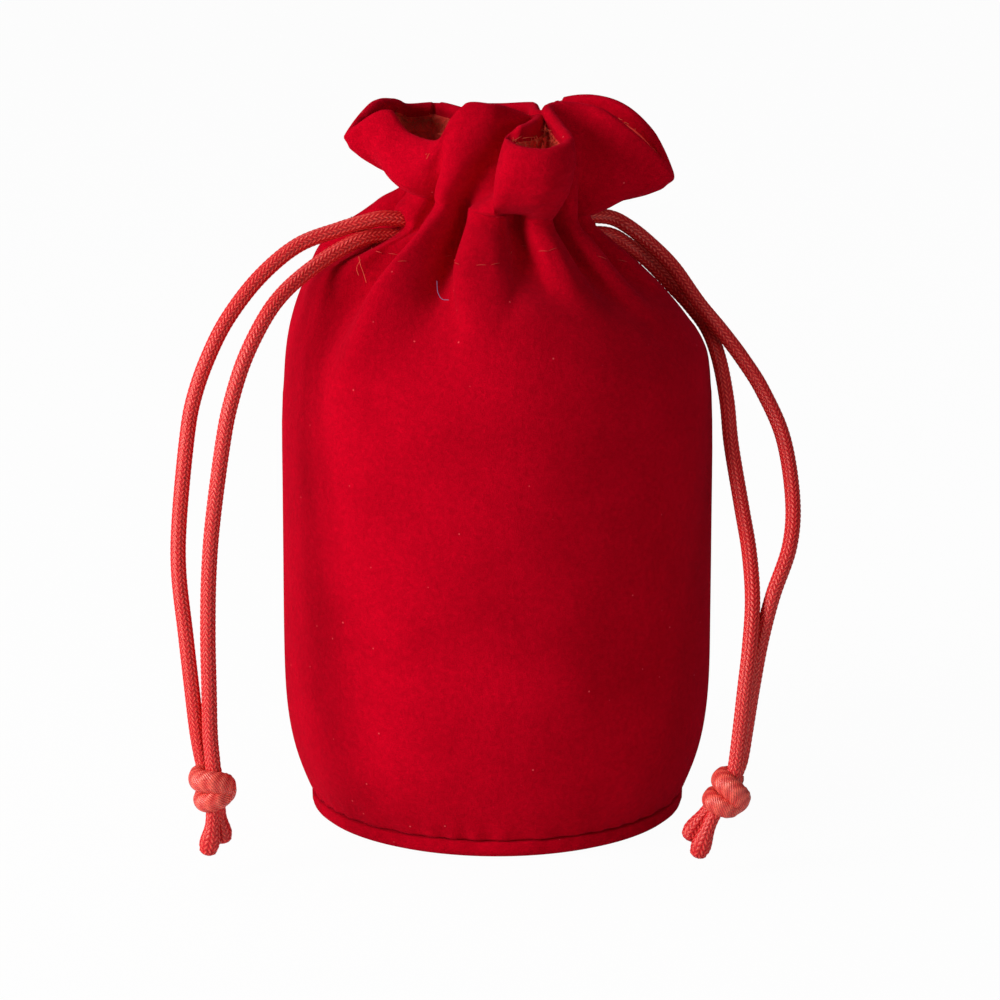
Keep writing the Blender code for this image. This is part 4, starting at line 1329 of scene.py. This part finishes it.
def braid(pitch):
    """Relief of a round braid: columns of chevrons that lean left and right by turns."""
    def relief(turn, walked):
        place = turn / math.tau * BRAID_WALES + 0.0 * walked
        wale = np.floor(place)
        aside = place - wale - 0.5
        lean = np.where(wale % 2 == 0, 1.0, -1.0)
        along = walked / pitch + lean * (BRAID_LEAN * aside + 0.25)
        across = np.abs(along - np.round(along)) * 2.0
        bead = np.sqrt(np.clip(1.0 - across ** 2.2, 0.0, 1.0))
        shoulder = np.sqrt(np.clip(1.0 - (2.0 * np.abs(aside)) ** 3, 0.0, 1.0))
        height = bead * (0.5 + 0.5 * shoulder)
        # The second value is painted light: high on the crowns for a painted highlight, low in the grooves
        # for painted shade.
        return 1.0 - BRAID_DEPTH * (1.0 - height), height ** 1.4
    return relief


def drawn_tight(lean):
    """Relief of a satin cord drawn tight: soft swellings that run aslant."""
    def relief(turn, walked):
        along = walked / KNOT_SWELL_LENGTH + lean * np.sin(turn)
        swell = 0.5 + 0.5 * np.cos(math.tau * along)
        # The second value paints the tops of the swellings lighter, a painted highlight.
        return 1.0 - KNOT_SWELL_DEPTH * (1.0 - swell), 0.82 + 0.18 * swell
    return relief


def channel_points(exit_deg, lane, step_from, sizes):
    """One cord in the channel: in by its exit, round the neck and out again, one lane lower."""
    start = math.radians(exit_deg)
    lanes = [CHANNEL_MIDDLE + (k - 1) * (sizes.cord_diameter + CORD_LANE_GAP) for k in range(3)]
    along = math.sqrt((CORD_RING_RADIUS + CORD_TURN_RADIUS) ** 2 - CORD_TURN_RADIUS ** 2)
    meet = math.atan2(CORD_TURN_RADIUS, along)
    outer = sizes.neck_radius + EXIT_REACH
    half_turn = 0.5 * meet - 0.75 * math.pi
    veer = (along + CORD_TURN_RADIUS * math.cos(half_turn),
            CORD_TURN_RADIUS + CORD_TURN_RADIUS * math.sin(half_turn))
    high = lanes[lane]
    low = lanes[lane - 1]
    between = 0.5 * (outer + along)
    flat = [(outer, 0.0, high), (between, 0.0, high), (along, 0.0, high), (veer[0], veer[1], high)]
    for step in range(CHANNEL_STEPS + 1):
        turn = meet + (math.tau - 2.0 * meet) * step / CHANNEL_STEPS
        height = high + (low - high) * float(eased((math.degrees(turn) - step_from) / 180.0))
        flat.append((CORD_RING_RADIUS * math.cos(turn), CORD_RING_RADIUS * math.sin(turn), height))
    flat += [(veer[0], -veer[1], low), (along, 0.0, low), (between, 0.0, low), (outer, 0.0, low)]
    cosine, sine = math.cos(start), math.sin(start)
    turned = [(f * cosine - a * sine, f * sine + a * cosine, h) for f, a, h in flat]
    return leaned(turned)


def lay_strand(name, start, route, knot_point, sizes, material):
    """One free strand, from inside its exit down into its knot."""
    points = np.vstack([start, np.array(route) * MM, [knot_point]])
    line, length = smooth_line(points, STRAND_STEP)
    radii = np.full((len(line), 2), sizes.cord_diameter / 2.0)
    strand = tube(name, line, radii, [material], relief=braid(sizes.braid_pitch), sides=STRAND_SIDES)
    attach(strand, ROOT)
    return strand, line, length


def lay_cords(sizes, colors):
    """Both cords: four free strands, and the stretches hidden in the channel."""
    material = satin(colors)
    made = {}
    for side, exit_deg, lane, step_from, high_route, low_route, knot in (
            ("left", LEFT_EXIT_DEG, 1, 0.0, LEFT_UPPER_ROUTE, LEFT_LOWER_ROUTE, LEFT_KNOT),
            ("right", RIGHT_EXIT_DEG, 2, 180.0, RIGHT_UPPER_ROUTE, RIGHT_LOWER_ROUTE, RIGHT_KNOT)):
        channel = channel_points(exit_deg, lane, step_from, sizes)
        line, _ = smooth_line(channel[1:-1], HIDDEN_STEP)
        radii = np.full((len(line), 2), sizes.cord_diameter / 2.0)
        hidden = tube(side + "_cord_in_channel", line, radii, [material],
                      relief=braid(sizes.braid_pitch), sides=HIDDEN_SIDES)
        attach(hidden, ROOT)
        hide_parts(side + "_cord")
        middle = np.array(knot) * MM
        parts = (("upper", channel[1::-1], high_route), ("lower", channel[-2:], low_route))
        for part, start, route in parts:
            goal = np.array(route[-1]) * MM
            inward = middle + (goal - middle) * STRAND_END_SHARE
            name = side + "_" + part
            strand, path, length = lay_strand(name + "_strand", start, route, inward, sizes, material)
            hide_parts(side + "_cord")
            made[name] = (strand, path, length, start[-1])
    return made


def tie_knot(name, place_mm, tilt_deg, tails, sizes, colors, swap):
    """An overhand knot in both strands, with two short tails whose tips were melted round."""
    tight = knot_satin(colors)
    loose = satin(colors)
    place = Matrix.Translation(Vector(place_mm) * MM) @ Matrix.Rotation(math.radians(tilt_deg), 4, "Y")
    turn = np.array(place.to_3x3())
    shift = np.array(place.translation)
    pieces = []
    for part, route, wide, deep, lean in KNOT_BANDS:
        line, _ = smooth_line(np.array(route) * MM, BAND_STEP)
        along = np.linspace(0.0, 1.0, len(line))
        swell = 0.75 + 0.25 * eased(np.minimum(along, 1.0 - along) * 8.0)
        radii = np.column_stack([wide * MM * swell, deep * MM * swell])
        outward = line * np.array((1.0, 1.0, 0.15))
        pieces.append(tube(name + "_" + part, line @ turn.T + shift, radii, [tight],
                           relief=drawn_tight(lean), sides=KNOT_SIDES, normals=outward @ turn.T))
    for index, route in enumerate(tails):
        line, _ = smooth_line(np.array(route) * MM, TAIL_STEP)
        along = np.linspace(0.0, 1.0, len(line))
        opened = eased((along - 0.45) / 0.4) * (1.0 - 0.55 * eased((along - 0.86) / 0.14))
        radius = sizes.cord_diameter / 2.0
        radii = np.column_stack([radius * (0.92 + 0.40 * opened), radius * (0.92 + 0.10 * opened)])
        level = np.tile(np.array((0.05, 1.0, 0.0)), (len(line), 1))
        pieces.append(tube(name + "_tail_" + str(index + 1), line @ turn.T + shift, radii, [loose],
                           relief=braid(sizes.braid_pitch), sides=STRAND_SIDES, normals=level @ turn.T))
    bpy.ops.object.select_all(action="DESELECT")
    for piece in pieces:
        piece.select_set(True)
    bpy.context.view_layer.objects.active = pieces[0]
    bpy.ops.object.join()
    knot = bpy.context.view_layer.objects.active
    knot.name = name
    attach(knot, ROOT)
    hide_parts(swap)
    return knot


# Operators


class POUCH_OT_stage(bpy.types.Operator):
    """Set the camera, the studio light and the pale floor."""

    bl_idname = "pouch.stage"
    bl_label = "Stage"

    def execute(self, context):
        colors = context.scene.pouch_colors
        rise = math.radians(CAMERA_RISE_DEG)
        aim = Vector(CAMERA_AIM)
        away = Vector((0.0, -math.cos(rise), math.sin(rise)))
        bpy.ops.object.select_all(action="DESELECT")
        bpy.ops.object.camera_add(location=aim + away * CAMERA_DISTANCE)
        camera = context.view_layer.objects.active
        camera.name = "camera"
        camera.rotation_euler = away.to_track_quat("Z", "Y").to_euler()
        camera.data.lens = CAMERA_LENS
        camera.data.sensor_width = 36.0
        camera.data.clip_start = 0.05
        context.scene.camera = camera

        for name, place, size, power in LAMPS:
            bpy.ops.object.light_add(type="AREA", location=place)
            lamp = context.view_layer.objects.active
            lamp.name = name + "_lamp"
            lamp.data.shape = "DISK"
            lamp.data.size = size
            lamp.data.energy = power
            back = Vector(place) - Vector((0.0, 0.0, LAMP_AIM_HEIGHT))
            lamp.rotation_euler = back.to_track_quat("Z", "Y").to_euler()

        world = bpy.data.worlds.new("studio")
        context.scene.world = world
        world.use_nodes = True
        tree = world.node_tree
        soft = tree.nodes["Background"]
        set_inputs(soft, {"Color": (1.0, 1.0, 1.0, 1.0), "Strength": SKY_STRENGTH})
        white = tree.nodes.new("ShaderNodeBackground")
        white.inputs["Color"].default_value = (1.0, 1.0, 1.0, 1.0)
        path = tree.nodes.new("ShaderNodeLightPath")
        blend = tree.nodes.new("ShaderNodeMixShader")
        tree.links.new(path.outputs["Is Camera Ray"], blend.inputs["Fac"])
        tree.links.new(soft.outputs["Background"], blend.inputs[1])
        tree.links.new(white.outputs["Background"], blend.inputs[2])
        tree.links.new(blend.outputs["Shader"], tree.nodes["World Output"].inputs["Surface"])

        bpy.ops.mesh.primitive_circle_add(vertices=96, radius=FLOOR_SPREAD, fill_type="NGON")
        floor = context.view_layer.objects.active
        floor.name = "studio_floor"
        floor.data.materials.append(finish("studio_paper", lambda: floor_finish(colors)))
        context.scene.view_settings.view_transform = "Standard"
        return {"FINISHED"}


class POUCH_OT_cords(bpy.types.Operator):
    """Lay the two braided cords and tie their ends."""

    bl_idname = "pouch.cords"
    bl_label = "Cords and knots"

    def execute(self, context):
        sizes = context.scene.pouch_sizes
        colors = context.scene.pouch_colors
        strands = lay_cords(sizes, colors)
        knots = {
            "left": tie_knot("left_tied_end", LEFT_KNOT, LEFT_KNOT_TILT_DEG, LEFT_KNOT_TAILS,
                             sizes, colors, "left_knot"),
            "right": tie_knot("right_tied_end", RIGHT_KNOT, RIGHT_KNOT_TILT_DEG, RIGHT_KNOT_TAILS,
                              sizes, colors, "right_knot"),
        }
        return {"FINISHED"}


class POUCH_OT_wall(bpy.types.Operator):
    """Sew the velvet wall, gather its neck and finish its edges."""

    bl_idname = "pouch.wall"
    bl_label = "Velvet wall, stitches and frayed edge"

    def execute(self, context):
        sizes = context.scene.pouch_sizes
        colors = context.scene.pouch_colors
        cloth = SewnCloth(sizes)
        wall = sew_wall(cloth, sizes, colors)
        edges = [sew_stitches(cloth, sizes, colors), fray_edge(cloth, sizes, colors)]
        return {"FINISHED"}


class POUCH_OT_base(bpy.types.Operator):
    """Sew the round base and the casing tape."""

    bl_idname = "pouch.base"
    bl_label = "Base and casing tape"

    def execute(self, context):
        sizes = context.scene.pouch_sizes
        colors = context.scene.pouch_colors
        base = sew_base(sizes, colors)
        tape = sew_tape(sizes, colors)
        return {"FINISHED"}


class POUCH_OT_threads(bpy.types.Operator):
    """Lay the loose threads on the shoulder."""

    bl_idname = "pouch.threads"
    bl_label = "Loose threads"

    def execute(self, context):
        lay_threads(context.scene.pouch_sizes, context.scene.pouch_colors)
        return {"FINISHED"}


class POUCH_PT_panel(bpy.types.Panel):
    """Sizes, colours and pieces of the pouch."""

    bl_label = "Velvet pouch"
    bl_idname = "POUCH_PT_panel"
    bl_space_type = "VIEW_3D"
    bl_region_type = "UI"
    bl_category = "Pouch"

    def draw(self, context):
        layout = self.layout
        for group in (context.scene.pouch_sizes, context.scene.pouch_colors):
            box = layout.box()
            for name in group.__annotations__:
                box.prop(group, name)
        for operator in PIECES:
            layout.operator(operator.bl_idname)


PIECES = (POUCH_OT_stage, POUCH_OT_cords, POUCH_OT_wall, POUCH_OT_base, POUCH_OT_threads)
CLASSES = (PouchSizes, PouchColors, *PIECES, POUCH_PT_panel)


def register():
    """Make the pouch's settings, operators and panel known."""
    for item in CLASSES:
        bpy.utils.register_class(item)
    bpy.types.Scene.pouch_sizes = PointerProperty(type=PouchSizes)
    bpy.types.Scene.pouch_colors = PointerProperty(type=PouchColors)


def unregister():
    """Remove them again."""
    del bpy.types.Scene.pouch_colors
    del bpy.types.Scene.pouch_sizes
    for item in reversed(CLASSES):
        bpy.utils.unregister_class(item)


def main():
    """Make every piece in order and keep both boxes."""
    register()
    bpy.ops.pouch.stage()
    bpy.ops.pouch.cords()
    bpy.ops.pouch.wall()
    bpy.ops.pouch.base()
    bpy.ops.pouch.threads()


if __name__ == "__main__":
    main()
